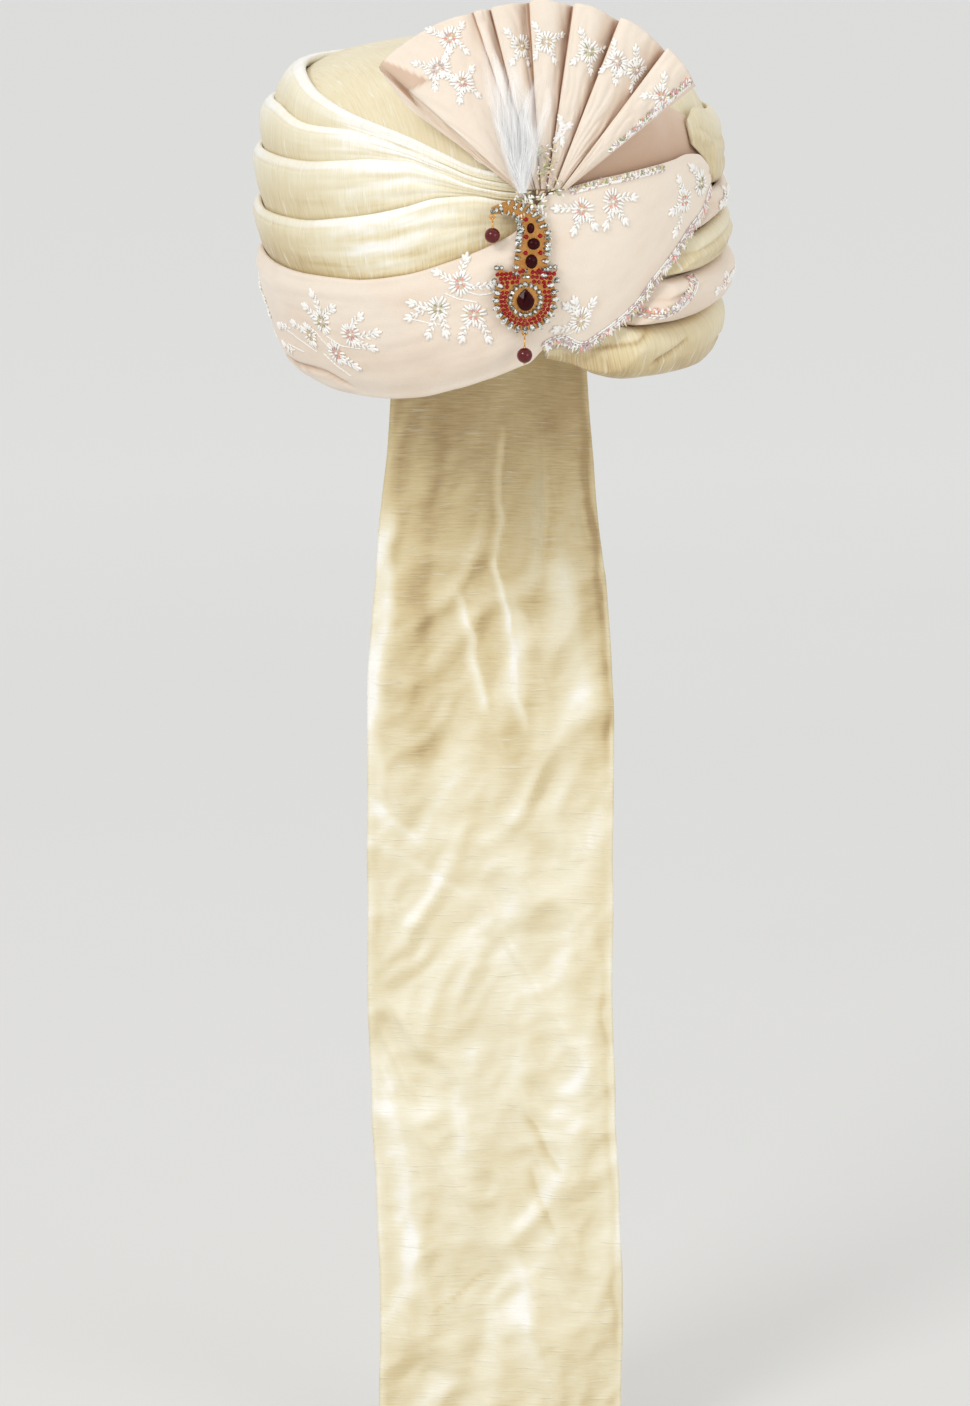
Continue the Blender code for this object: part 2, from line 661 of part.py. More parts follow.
def stem_at(v):
    """(across, up, half width) of the brooch's stem, v from 0 at the shield to 1 at the curled tip."""
    n = len(STEM["up"]) - 1
    i = min(int(v * n), n - 1)
    t = v * n - i

    def along(column):
        p = STEM[column]
        a, b = p[max(i - 1, 0)], p[min(i + 2, n)]
        q, r = p[i], p[i + 1]
        bend = (2 * a - 5 * q + 4 * r - b) * t * t + (3 * q - a - 3 * r + b) * t ** 3
        return 0.5 * (2 * q + (r - a) * t + bend)

    return [BROOCH_RADIUS * along(c) for c in ("across", "up", "half_width")]


def stem_side(v, side):
    """A point on the stem's edge, side -1 left or +1 right."""
    x, y, half = stem_at(v)
    x2, y2, _ = stem_at(min(1.0, v + 0.01))
    x1, y1, _ = stem_at(max(0.0, v - 0.01))
    along = Vector((x2 - x1, y2 - y1)).normalized()
    return Vector((x, y)) + Vector((along.y, -along.x)) * half * side


def brooch_outline():
    """The plate's outline: a round shield with two horns and a stem that curls over at its tip."""
    r = BROOCH_RADIUS
    stem_steps = 9
    points = [stem_side(v / stem_steps, 1) for v in range(stem_steps + 1)]
    points += [stem_side(v / stem_steps, -1) for v in range(stem_steps, -1, -1)]
    points.append(Vector((-0.88 * r, 1.02 * r)))
    arc_steps = 22
    for k in range(arc_steps + 1):
        turn = math.radians(mix(146, 394, k / arc_steps))
        points.append(Vector((r * math.cos(turn), r * math.sin(turn))))
    points.append(Vector((1.02 * r, 0.94 * r)))
    return points


def plate(name, points, thickness):
    bm = bmesh.new()
    face = bm.faces.new([bm.verts.new((p.x, p.y, 0)) for p in points])
    raised = bmesh.ops.extrude_face_region(bm, geom=[face])["geom"]
    top = [v for v in raised if isinstance(v, bmesh.types.BMVert)]
    bmesh.ops.translate(bm, verts=top, vec=(0, 0, thickness))
    bmesh.ops.triangulate(bm, faces=bm.faces)
    return add_object(name, bm, "gold_metal", smooth_shading=False)


def cut_stone(bm, at, radius, height):
    """An eight-sided stone: a flat table and eight facets, its foot sunk in the plate."""
    sunk = 0.25 * height
    made = bmesh.ops.create_cone(
        bm, cap_ends=True, segments=8, radius1=radius, radius2=0.55 * radius, depth=height,
    )["verts"]
    bmesh.ops.translate(bm, verts=made, vec=(at.x, at.y, BROOCH_PLATE + height / 2 - sunk))


def torus(name, centre, axis, radius, wire, finish, sides=10, wire_sides=6):
    bm = bmesh.new()
    turn = Vector((0, 0, 1)).rotation_difference(axis).to_matrix()
    profile = [
        bm.verts.new((radius + wire * math.cos(a), 0, wire * math.sin(a)))
        for a in (2 * math.pi * k / wire_sides for k in range(wire_sides))
    ]
    edges = [bm.edges.new((profile[k], profile[(k + 1) % wire_sides])) for k in range(wire_sides)]
    bmesh.ops.spin(
        bm, geom=profile + edges, cent=(0, 0, 0), axis=(0, 0, 1),
        angle=2 * math.pi, steps=sides, use_merge=True,
    )
    bmesh.ops.transform(bm, matrix=Matrix.Translation(centre) @ turn.to_4x4(), verts=bm.verts)
    return add_object(name, bm, finish)


def shield_stones():
    """(places, radius) of the small clear and red stones on the shield and stem."""
    def on_arc(start, end, count, radius, size):
        turns = [math.radians(mix(start, end, k / (count - 1))) for k in range(count)]
        return [(Vector((math.cos(a), math.sin(a))) * radius, size) for a in turns]

    scallop_ring = BROOCH_RADIUS - 0.9 * SCALLOP_RADIUS
    ring_end = 450 - 360 / RING_STONES
    places = on_arc(150, 390, SCALLOP_STONES, scallop_ring, SCALLOP_RADIUS)
    places += on_arc(90, ring_end, RING_STONES, RING_RADIUS, 0.85 * RHINESTONE_RADIUS)
    places += on_arc(160, 380, CRESCENT_STONES, CRESCENT_RADIUS, 0.8 * RHINESTONE_RADIUS)
    for v in (0.08, 0.21, 0.34, 0.47, 0.60, 0.73):
        for side in (-1, 1):
            edge, middle = stem_side(v, side), Vector(stem_at(v)[:2])
            inward = (middle - edge).normalized() * 1.15 * RHINESTONE_RADIUS
            places.append((edge + inward, RHINESTONE_RADIUS))
    for v in (0.86, 0.96):
        places.append((Vector(stem_at(v)[:2]), RHINESTONE_RADIUS))
    return places


def brooch(frame):
    """The gilt plate with its rows of small stones fused on, and a ring at the tip and at the foot."""
    body = plate("brooch", brooch_outline(), BROOCH_PLATE)
    bm = bmesh.new()
    for at, radius in shield_stones():
        cut_stone(bm, at, radius, RHINESTONE_HEIGHT)
    stones = add_object("brooch_stones", bm, "gold_metal", smooth_shading=False)
    rings = [
        torus(f"brooch_ring_{i}", at, Vector((0, 0, 1)), EYE_RADIUS, WIRE_RADIUS * 1.2, "gold_metal")
        for i, at in enumerate(ring_places())
    ]
    for piece in [body, stones, *rings]:
        piece.data.transform(frame)
    return union(body, [stones, *rings])


def ring_places():
    """Middles of the two rings that the drops hang from, in the brooch's plane."""
    tip = stem_side(1.0, -1)
    outward = EYE_RADIUS - 0.6 * WIRE_RADIUS
    return (
        Vector((tip.x, tip.y - outward, BROOCH_PLATE / 2)),
        Vector((0, -BROOCH_RADIUS - outward, BROOCH_PLATE / 2)),
    )


def domed_stone(name, frame, across, up, half_width, half_height, finish, sides=12):
    """A polished oval stone on the plate, domed above and flat below."""
    rings = []
    for lift, reach in ((0.0, 1.0), (0.45, 0.94), (0.88, 0.55)):
        rings.append([
            Vector((
                across + half_width * reach * math.cos(2 * math.pi * k / sides),
                up + half_height * reach * math.sin(2 * math.pi * k / sides),
                BROOCH_PLATE + STONE_GAP + lift * DOME_SHARE * half_width,
            ))
            for k in range(sides)
        ])
    foot = Vector((across, up, BROOCH_PLATE + STONE_GAP))
    top = Vector((across, up, BROOCH_PLATE + STONE_GAP + DOME_SHARE * half_width))
    obj = rings_solid(name, [[foot], *rings, [top]], finish)
    obj.data.transform(frame)
    return obj


def pear_stone(frame):
    """The large pear-cut garnet: a flat table with a facet from each side of its outline."""
    outline = []
    for k in range(12):
        turn = 2 * math.pi * k / 12 + math.pi / 2
        pinch = 1 - PEAR_PINCH * max(0.0, math.sin(turn)) ** 2
        outline.append((PEAR_HALF_WIDTH * math.cos(turn) * pinch, PEAR_HALF_HEIGHT * math.sin(turn)))
    base = BROOCH_PLATE + STONE_GAP
    rings = [[Vector((x, y, base)) for x, y in outline]]
    rings.append([Vector((x, y, base + PEAR_GIRDLE)) for x, y in outline])
    table = [(PEAR_TABLE_SHARE * x, PEAR_TABLE_SHARE * y) for x, y in outline]
    rings.append([Vector((x, y, base + PEAR_HEIGHT)) for x, y in table])
    rings = [[Vector((0, 0, base))], *rings, [Vector((0, 0, base + PEAR_HEIGHT))]]
    obj = rings_solid("pear_stone", rings, "garnet")
    obj.data.transform(frame)
    return obj


def drop_bead(name, ring_middle, length):
    """A round bead on a wire pin, whose eye is linked through the brooch's ring."""
    eye_middle = ring_middle - Vector((0, 0, EYE_RADIUS))
    bead_middle = ring_middle - Vector((0, 0, length))
    bm = bmesh.new()
    bmesh.ops.create_uvsphere(bm, u_segments=12, v_segments=7, radius=BEAD_RADIUS)
    bmesh.ops.translate(bm, verts=bm.verts, vec=bead_middle)
    bead = add_object(name, bm, "red_bead")
    pin_top = eye_middle.z - EYE_RADIUS
    pin_foot = bead_middle.z + 0.8 * BEAD_RADIUS
    bm = bmesh.new()
    bmesh.ops.create_cone(
        bm, cap_ends=True, segments=6, radius1=WIRE_RADIUS, radius2=WIRE_RADIUS, depth=pin_top - pin_foot,
    )
    bmesh.ops.translate(bm, verts=bm.verts, vec=(bead_middle.x, bead_middle.y, (pin_top + pin_foot) / 2))
    pin = add_object(name + "_pin", bm, "gold_metal")
    eye = torus(name + "_eye", eye_middle, Vector((1, 0, 0)), EYE_RADIUS, WIRE_RADIUS, "gold_metal")
    return union(bead, [pin, eye])


def jewellery():
    frame = brooch_frame()
    brooch(frame)
    pear_stone(frame)
    r = BROOCH_RADIUS
    for i, name in enumerate(CABOCHONS["name"]):
        sizes = [r * CABOCHONS[c][i] for c in ("across", "up", "half_width", "half_height")]
        domed_stone(name, frame, *sizes, "garnet")
    for i, (nearest, across, clear) in enumerate(zip(*SMALL_STONES.values())):
        row = CABOCHONS["name"].index("cabochon_" + nearest)
        away = clear * r + math.copysign(r * CABOCHONS["half_height"][row], clear)
        up = r * CABOCHONS["up"][row] + away
        sizes = (across * r, up, RED_STONE_RADIUS, RED_STONE_RADIUS)
        domed_stone(f"red_stone_{i + 1}", frame, *sizes, "red_bead", 10)
    side, bottom = [frame @ at for at in ring_places()]
    drop_bead("side_drop_bead", side, SIDE_DROP_LENGTH)
    drop_bead("bottom_drop_bead", bottom, BOTTOM_DROP_LENGTH)


def tail_point(share, across, lift):
    """A point of the tail where it lies on the crown's back, across in metres from its middle."""
    at = skin_point(180, share)
    turn = math.degrees(across / max(CROWN_HALF_WIDTH * abs(at.y) / CROWN_HALF_DEPTH, TAIL_LEAST_RADIUS))
    return lifted(180 - turn, share, lift)


def tail():
    """The tail: silk that lies over the crown's back, leaves it at the rim and hangs to its hem."""
    seat = BACK_LIP + 2 * LAYER_GAP
    shares_of_width = [2 * k / TAIL_COLUMNS - 1 for k in range(TAIL_COLUMNS + 1)]
    rim_line = [tail_point(TAIL_ROWS[-1], TAIL_RIM_WIDTH / 2 * w, seat) for w in shares_of_width]
    flat = max(p.y for p in rim_line) - TAIL_INSET
    outer, inner = [], []
    for row in range(len(TAIL_ROWS) + TAIL_HANG_STEPS):
        outs, ins = [], []
        for w, start in zip(shares_of_width, rim_line):
            if row < len(TAIL_ROWS):
                share = TAIL_ROWS[row] * TAIL_TOP_SHARE / TAIL_ROWS[0]
                width = mix(TAIL_RIM_WIDTH, TAIL_TOP_WIDTH, smooth(share / TAIL_TOP_SHARE))
                lift = mix(seat, LAYER_GAP, smooth((share - TAIL_SINK_SHARE) / TAIL_SINK_SPREAD))
                at = tail_point(share, width / 2 * w, lift)
                normal = (tail_point(share, width / 2 * w, lift + TAIL_CLOTH) - at).normalized()
            else:
                fall = (row - len(TAIL_ROWS) + 1) / TAIL_HANG_STEPS
                drop = TAIL_LENGTH * fall
                flare = smooth(drop / TAIL_FLARE_LENGTH)
                wave = math.sin(TAIL_WAVES_ACROSS * w + TAIL_WAVES_DOWN * fall) * (1 - TAIL_WAVE_FADE * flare)
                ripple = TAIL_RIPPLE * wave * smooth(drop / TAIL_RIPPLE_LENGTH)
                at = Vector((
                    mix(start.x, TAIL_WIDTH / 2 * w, flare),
                    mix(start.y, flat, smooth(drop / TAIL_SETTLE_LENGTH)) + ripple,
                    start.z - drop,
                ))
                turn = TAIL_TURN_SHARE * start.x / TAIL_WIDTH * (1 - flare)
                normal = Vector((turn, 1, 0)).normalized()
            ins.append(at)
            outs.append(at + normal * TAIL_CLOTH)
        outer.append(outs)
        inner.append(ins)
    return wall_between("tail", outer, inner, "ivory_silk")


def main():
    for obj in list(bpy.data.objects):
        bpy.data.objects.remove(obj, do_unlink=True)
    crown()
    silk_folds()
    band()
    top_wrap()
    for name in ROLLS:
        roll(name, "pink_cloth" if name.startswith("embroidered") else "ivory_silk")
    fan()
    plume()
    jewellery()
    tail()


main()
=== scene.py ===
import random
from functools import lru_cache
from math import atan2, cos, degrees, exp, hypot, pi, radians, sin

import bmesh
import bpy
from mathutils import Matrix, Vector, noise


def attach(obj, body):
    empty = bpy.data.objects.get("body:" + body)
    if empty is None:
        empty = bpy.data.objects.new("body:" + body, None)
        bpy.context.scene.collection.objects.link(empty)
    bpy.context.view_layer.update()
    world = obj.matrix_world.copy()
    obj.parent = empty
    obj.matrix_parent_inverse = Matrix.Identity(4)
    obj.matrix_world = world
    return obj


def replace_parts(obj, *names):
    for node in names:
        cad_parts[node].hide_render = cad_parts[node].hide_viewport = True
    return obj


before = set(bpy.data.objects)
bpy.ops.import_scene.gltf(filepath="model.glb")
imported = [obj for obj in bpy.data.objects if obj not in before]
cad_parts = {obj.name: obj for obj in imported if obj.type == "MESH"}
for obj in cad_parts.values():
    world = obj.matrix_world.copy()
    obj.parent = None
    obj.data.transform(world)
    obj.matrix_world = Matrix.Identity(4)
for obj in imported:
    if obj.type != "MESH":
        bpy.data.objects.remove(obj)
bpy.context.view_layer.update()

# Metres, +Z up, the front faces -Y. An azimuth is in degrees round the crown, 0 at the front and +90 at +X.
# A share is the climb up the crown, 0 at the rim and 1 at the top. A lift is the height above its skin.

print("turban: frame loaded")

# camera, as the picture was taken

cameraSettings = {
    "place": (-0.0027, -2.981, 0.3396),
    "pitch": 79.89,
    "lens": 142.51,
    "sensor": 36.0,
}


def makeCamera(settings):
    data = bpy.data.cameras.new("camera")
    data.lens = settings["lens"]
    data.sensor_width = settings["sensor"]
    camera = bpy.data.objects.new("camera", data)
    camera.location = settings["place"]
    camera.rotation_euler = (radians(settings["pitch"]), 0, 0)
    bpy.context.scene.collection.objects.link(camera)
    bpy.context.scene.camera = camera


makeCamera(cameraSettings)


# numbers and curves

def limit(x, low=0.0, high=1.0):
    return max(low, min(high, x))


def smooth(t):
    t = limit(t)
    return t * t * (3 - 2 * t)


def mix(a, b, t):
    return a + (b - a) * t


def spread(start, end, steps):
    return [mix(start, end, k / steps) for k in range(steps + 1)]


def bump(x, middle, width):
    return exp(-((x - middle) / width) ** 2)


def heading(turn, reach=1.0):
    return cos(turn) * reach, sin(turn) * reach


def curveAt(xs, ys, at):  # a smooth curve that never overshoots its points
    last = len(xs) - 1
    at = limit(at, xs[0], xs[-1])
    i = max(k for k in range(last) if xs[k] <= at)
    slope = [(ys[k + 1] - ys[k]) / (xs[k + 1] - xs[k]) for k in range(last)]

    def tangent(k):
        if k in (0, last):
            return slope[min(k, last - 1)]
        a, b = slope[k - 1], slope[k]
        return 2 * a * b / (a + b) if a * b > 0 else 0.0

    width = xs[i + 1] - xs[i]
    t = (at - xs[i]) / width
    return (ys[i] * (1 + 2 * t) * (1 - t) ** 2 + ys[i + 1] * t * t * (3 - 2 * t)
            + tangent(i) * width * t * (1 - t) ** 2 - tangent(i + 1) * width * t * t * (1 - t))


def splineAt(points, along):  # a rounder curve through evenly spaced points
    last = len(points) - 1
    i = min(int(along * last), last - 1)
    t = along * last - i
    a, b, c, d = points[max(i - 1, 0)], points[i], points[i + 1], points[min(i + 2, last)]
    bend = (2 * a - 5 * b + 4 * c - d) * t ** 2 + (3 * b - a - 3 * c + d) * t ** 3
    return 0.5 * (2 * b + (c - a) * t + bend)


def wave(x, y, z, seed=0.0, octaves=3):
    return noise.fractal(Vector((x, y + seed * 7.3, z + seed * 3.1)), 0.9, 2.1, octaves)


def crease(x, y, seed=0.0):  # sharp valleys between smooth facets, 0 to 1
    return min(1.0, abs(noise.noise(Vector((x + seed * 5.7, y, seed * 9.1)))) * 2.6)


# crown skin, shared by every wrap

crownShape = {
    "halfWidth": 0.119,
    "halfDepth": 0.135,
    "height": 0.168,
    "widestHeight": 0.088,
    "widestShare": 0.42,
    "rimWidth": 0.85,
    "rimRounding": 2.6,
    "sideSquareness": 3.2,
    "frontSquareness": 2.3,
    "headHalfWidth": 0.079,
    "headHalfDepth": 0.097,
    "topPadding": 0.012,
    "archHeight": 0.062,
    "archAzimuth": 15.0,
    "archSpread": 13.0,
    "climb": 0.21,
}
layers = {"gap": 0.0006, "cloth": 0.0016, "tucked": 0.0022, "overTuck": 0.0028, "foldLip": 0.0080,
          "gatheredLip": 0.0046, "backLip": 0.0055, "standoff": 0.0048, "bandCloth": 0.0024}


def skinPoint(azimuth, share):
    a = radians(azimuth)
    s = crownShape
    if share < s["widestShare"]:
        q = share / s["widestShare"]
        reach = 1 - (1 - s["rimWidth"]) * (1 - q) ** s["rimRounding"]
        height = s["widestHeight"] * q
    else:
        front = max(0.0, cos(a)) ** 2
        n = mix(s["sideSquareness"], s["frontSquareness"], front)
        turn = (min(share, 1.0) - s["widestShare"]) / (1 - s["widestShare"]) * pi / 2
        rho = (abs(cos(turn)) ** n + abs(sin(turn)) ** n) ** (-1 / n)
        reach = rho * cos(turn)
        height = s["widestHeight"] + (s["height"] - s["widestHeight"]) * rho * sin(turn)
    return Vector((s["halfWidth"] * reach * sin(a), -s["halfDepth"] * reach * cos(a), height))


def skinNormal(azimuth, share):
    share = min(share, 0.996)
    across = skinPoint(azimuth + 0.2, share) - skinPoint(azimuth - 0.2, share)
    up = skinPoint(azimuth, share + 0.002) - skinPoint(azimuth, share - 0.002)
    return across.cross(up).normalized()


def lifted(azimuth, share, lift):
    return skinPoint(azimuth, share) + skinNormal(azimuth, share) * lift


def rimArch(azimuth):
    return crownShape["archHeight"] * bump(azimuth, crownShape["archAzimuth"], crownShape["archSpread"])


def backTaper(azimuth, full, atBack):
    return mix(full, atBack, smooth((abs(azimuth) - 128) / 22))


# shader maths and materials

class Value:  # a shader number, on which Python's operators add Math nodes
    def __init__(self, finish, socket):
        self.finish = finish
        self.socket = socket

    def maths(self, operation, *others):
        values = {i: o for i, o in enumerate((self, *others))}
        return self.finish.node("ShaderNodeMath", {"operation": operation}, values)

    def __add__(self, other):
        return self.maths("ADD", other)

    def __radd__(self, other):
        return self.maths("ADD", other)

    def __sub__(self, other):
        return self.maths("SUBTRACT", other)

    def __rsub__(self, other):
        return self.finish.node("ShaderNodeMath", {"operation": "SUBTRACT"}, {0: other, 1: self})

    def __mul__(self, other):
        return self.maths("MULTIPLY", other)

    def __rmul__(self, other):
        return self.maths("MULTIPLY", other)

    def limited(self):
        return self.finish.node("ShaderNodeClamp", {}, {"Value": self})


class Finish:  # one material and the nodes it is made of
    def __init__(self, name, **fixed):
        self.material = bpy.data.materials.new(name)
        self.material.use_nodes = True
        self.tree = self.material.node_tree
        self.shader = self.tree.nodes["Principled BSDF"]
        for socket, value in fixed.items():
            self.shader.inputs[socket.replace("_", " ")].default_value = value

    def node(self, kind, settings, values, output=0):
        made = self.tree.nodes.new(kind)
        for name, value in settings.items():
            if name == "stops":
                self.setStops(made, value)
            else:
                setattr(made, name, value)
        for name, value in values.items():
            socket = made.inputs[name]
            if isinstance(value, Value):
                self.tree.links.new(value.socket, socket)
            elif value is not None:
                socket.default_value = value
        return Value(self, made.outputs[output])

    def setStops(self, made, stops):
        elements = made.color_ramp.elements
        while len(elements) < len(stops):
            elements.new(0.5)
        for element, (place, colour) in zip(elements, stops):
            element.position = place
            element.color = (*colour, 1)

    def feed(self, socket, value):
        self.tree.links.new(value.socket, self.shader.inputs[socket])

    def coordinates(self, source="Object", scale=(1, 1, 1)):
        where = self.node("ShaderNodeTexCoord", {}, {}, source)
        return self.node("ShaderNodeMapping", {}, {"Vector": where, "Scale": scale})

    def noise(self, scale, detail=2.0, roughness=0.5):  # three scales run over the UVs, one over the object
        overCloth = isinstance(scale, tuple)
        where = self.coordinates("UV", scale) if overCloth else self.coordinates()
        return self.node("ShaderNodeTexNoise", {}, {"Vector": where, "Scale": 1.0 if overCloth else scale,
                                                    "Detail": detail, "Roughness": roughness})

    def ramp(self, value, stops):
        return self.node("ShaderNodeValToRGB", {"stops": stops}, {"Fac": value})

    def attribute(self, name):
        return self.node("ShaderNodeAttribute", {"attribute_name": name}, {}, "Fac")

    def mixed(self, factor, a, b, how="MIX"):
        made = self.node("ShaderNodeMix", {"data_type": "RGBA", "blend_type": how}, {}, 2)
        mixer = made.socket.node
        for socket, value in ((0, factor), (6, a), (7, b)):
            if isinstance(value, Value):
                self.tree.links.new(value.socket, mixer.inputs[socket])
            else:
                mixer.inputs[socket].default_value = value if socket == 0 else (*value, 1)
        return made

    def bumped(self, height, strength, distance):
        values = {"Height": height, "Strength": strength, "Distance": distance}
        self.feed("Normal", self.node("ShaderNodeBump", {}, values, "Normal"))


# painted shade and sheen: the silk ramp runs from a painted shadow brown through gold and cream to a painted
# satin highlight
silkShadeToSheen = [(0.0, (0.43, 0.30, 0.14)), (0.22, (0.66, 0.53, 0.29)), (0.48, (0.79, 0.70, 0.47)),
            (0.76, (0.88, 0.82, 0.64)), (1.0, (0.965, 0.95, 0.89))]
silkSlub = (0.95, 0.90, 0.76)


def silkFinish(name, slubStrength, along, contrast):  # along: which UV direction the slubs run in, 0 or 1
    f = Finish(name, Sheen_Weight=0.2, Sheen_Roughness=0.35, Specular_IOR_Level=0.5, Anisotropic=0.4)

    def streaks(fine, long, detail, roughness):
        return f.noise((fine, long, 1) if along else (long, fine, 1), detail, roughness)

    threads = streaks(1150.0, 60.0, 3.0, 0.65)
    slubs = streaks(520.0, 46.0, 2.0, 0.6)
    thick = streaks(210.0, 30.0, 1.0, 0.5)
    weave = f.noise((3200, 3200, 1), 1.0)
    # tone carries the painted shade and sheen that each piece bakes into its points
    tone = f.attribute("tone")
    clouds = f.noise((30, 30, 1), 3.0, 0.55)
    level = (tone + (clouds - 0.5) * 0.22 + (threads - 0.5) * contrast + (weave - 0.5) * 0.10).limited()
    slubMask = ((slubs - 0.57) * 8.0).limited() * ((thick - 0.38) * 5.0).limited()
    f.feed("Base Color", f.mixed(slubMask * slubStrength, f.ramp(level, silkShadeToSheen), silkSlub))
    f.feed("Roughness", 0.48 - tone * 0.12 + (threads - 0.5) * 0.2)
    f.bumped(threads * 0.6 + slubMask * 0.7 + weave * 0.15, 0.7, 0.0005)
    return f.material


pinkLook = {"base": (0.835, 0.715, 0.585), "light": (0.905, 0.815, 0.705)}
pinkShade = [(0.0, (1.0, 1.0, 1.0)), (0.35, (0.89, 0.81, 0.75)), (0.7, (0.62, 0.44, 0.34)),
             (1.0, (0.28, 0.13, 0.09))]


def pinkFinish(name):
    f = Finish(name, Sheen_Weight=0.3, Sheen_Roughness=0.5, Specular_IOR_Level=0.3)
    clouds = f.noise((34, 34, 1), 4.0, 0.6)
    weft = f.noise((300, 2600, 1), 1.5)
    warp = f.noise((2600, 300, 1), 1.5)
    grain = (weft + warp) * 0.5
    tone = f.attribute("tone")
    base = f.mixed((clouds * 0.8 + (grain - 0.5) * 1.1).limited(), pinkLook["base"], pinkLook["light"])
    f.feed("Base Color", f.mixed(1.0, base, f.ramp(tone, pinkShade), "MULTIPLY"))
    f.feed("Roughness", 0.62 + (grain - 0.5) * 0.3)
    f.bumped(grain * 0.7 + clouds * 0.3, 0.6, 0.0005)
    return f.material


def plainThread(name, colour, lighter, roughness):
    f = Finish(name, Sheen_Weight=0.3, Specular_IOR_Level=0.45)
    strands = f.noise(2600.0, 2.0)
    f.feed("Base Color", f.mixed(strands, colour, lighter))
    f.feed("Roughness", roughness + (strands - 0.5) * 0.3)
    f.bumped(strands, 0.6, 0.0002)
    return f.material


def featherFinish():  # UV: across a vane, and along it from the root
    # painted light: a faint constant emission makes the feather glow whiter than its lighting gives
    f = Finish("featherWhite", Sheen_Weight=0.5, Specular_IOR_Level=0.1,
               Emission_Color=(0.95, 0.96, 1.0, 1.0), Emission_Strength=0.10)
    strands = f.noise((15, 1.6, 1), 4.0, 0.65)
    gaps = f.noise((4, 2.2, 1), 2.0, 0.5)
    along = f.node("ShaderNodeSeparateXYZ", {}, {0: f.coordinates("UV")}, 1)
    edge = f.attribute("tone")
    f.feed("Base Color", f.mixed(strands, (0.94, 0.94, 0.93), (0.99, 0.99, 0.985)))
    f.feed("Roughness", 0.75 + (strands - 0.5) * 0.2)
    veil = ((strands - 0.36) * 3.2).limited() * 0.75 + (gaps - 0.34) * 0.6
    f.feed("Alpha", (veil.limited() * edge * (0.86 - along * 0.20)).limited())
    return f.material


def metalFinish(name, colour, worn):
    f = Finish(name, Metallic=1.0)
    grain = f.noise(900.0, 3.0)
    patina = f.noise(260.0, 2.0)
    f.feed("Base Color", f.mixed(patina, colour, worn))
    f.feed("Roughness", 0.20 + grain * 0.18)
    f.bumped(grain, 0.25, 0.0002)
    return f.material


def stoneFinish(name, colour, deep, **fixed):
    f = Finish(name, **fixed)
    depth = f.noise(420.0, 2.0)
    f.feed("Base Color", f.mixed(depth, colour, deep))
    f.feed("Roughness", 0.05 + depth * 0.06)
    return f.material


def foilFinish(name):  # cut glass on foil: bright and dark facets
    f = Finish(name, Metallic=0.9, Coat_Weight=0.4)
    facets = f.node("ShaderNodeTexVoronoi", {}, {"Vector": f.coordinates(), "Scale": 1150.0}, "Color")
    sparkle = f.noise(700.0, 1.0)
    level = (f.node("ShaderNodeSeparateXYZ", {}, {0: facets}, 0) * 0.75 + sparkle * 0.5 - 0.14).limited()
    # painted reflections: the ramp paints bright glints and dark reflected facets into the stone's colour
    f.feed("Base Color", f.ramp(level, [(0.0, (0.05, 0.055, 0.045)), (0.30, (0.36, 0.38, 0.33)),
                                        (0.46, (0.90, 0.92, 0.88)), (1.0, (1.0, 1.0, 0.97))]))
    f.feed("Roughness", 0.10 + sparkle * 0.10)
    return f.material


silkFold = silkFinish("silkFold", 0.75, 1, 0.55)
silkTail = silkFinish("silkTail", 0.26, 0, 0.40)
pinkCloth = pinkFinish("pinkCloth")
threadLooks = {
    "white": ((0.93, 0.91, 0.86), (1.0, 0.99, 0.96), 0.5),
    "pink": ((0.80, 0.27, 0.22), (0.92, 0.46, 0.38), 0.5),
    "green": ((0.22, 0.30, 0.13), (0.48, 0.52, 0.26), 0.5),
    "gold": ((0.60, 0.48, 0.24), (0.84, 0.74, 0.46), 0.4),
    "lilac": ((0.52, 0.38, 0.38), (0.72, 0.58, 0.56), 0.5),
}
threadNames = list(threadLooks)
threadFinishes = [plainThread(shade + "Thread", *look) for shade, look in threadLooks.items()]
feather = featherFinish()
gilt = metalFinish("gilt", (0.70, 0.33, 0.08), (0.90, 0.58, 0.24))
# painted shade: the plate's gilt is a darker copy of the gilt, for the plate seen between the stones
shadedGiltPlate = metalFinish("shadedGiltPlate", (0.48, 0.17, 0.035), (0.74, 0.42, 0.14))
darkMetal = metalFinish("darkMetal", (0.10, 0.085, 0.05), (0.34, 0.31, 0.22))
foilStone = foilFinish("foilStone")
redStone = stoneFinish("redStone", (0.42, 0.010, 0.020), (0.16, 0.003, 0.008), Coat_Weight=0.1,
                       Specular_IOR_Level=0.3)
garnetStone = stoneFinish("garnetStone", (0.050, 0.0015, 0.003), (0.014, 0.0004, 0.001),
                          Specular_IOR_Level=0.11)
redGlass = stoneFinish("redGlass", (0.14, 0.003, 0.004), (0.07, 0.001, 0.002), Specular_IOR_Level=0.45)
print("turban: materials made")


# meshes

def finished(name, bm, finishes, slotName, smoothShading=True, thickness=0.0):
    mesh = bpy.data.meshes.new(name)
    bm.to_mesh(mesh)
    bm.free()
    piece = bpy.data.objects.new(name, mesh)
    bpy.context.scene.collection.objects.link(piece)
    for finish in finishes if isinstance(finishes, list) else [finishes]:
        mesh.materials.append(finish)
    if smoothShading:
        mesh.shade_smooth()
    if thickness:
        wall = piece.modifiers.new("wall", "SOLIDIFY")
        wall.thickness = thickness
        wall.offset = -1.0
        wall.use_quality_normals = False
    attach(piece, "root")
    return piece


def closeHoles(bm):
    bmesh.ops.holes_fill(bm, edges=[e for e in bm.edges if e.is_boundary], sides=0)


def addBall(bm, radius, sides, rings, place):
    made = bmesh.ops.create_uvsphere(bm, u_segments=sides, v_segments=rings, radius=radius)["verts"]
    bmesh.ops.transform(bm, matrix=place, verts=made)
    return made


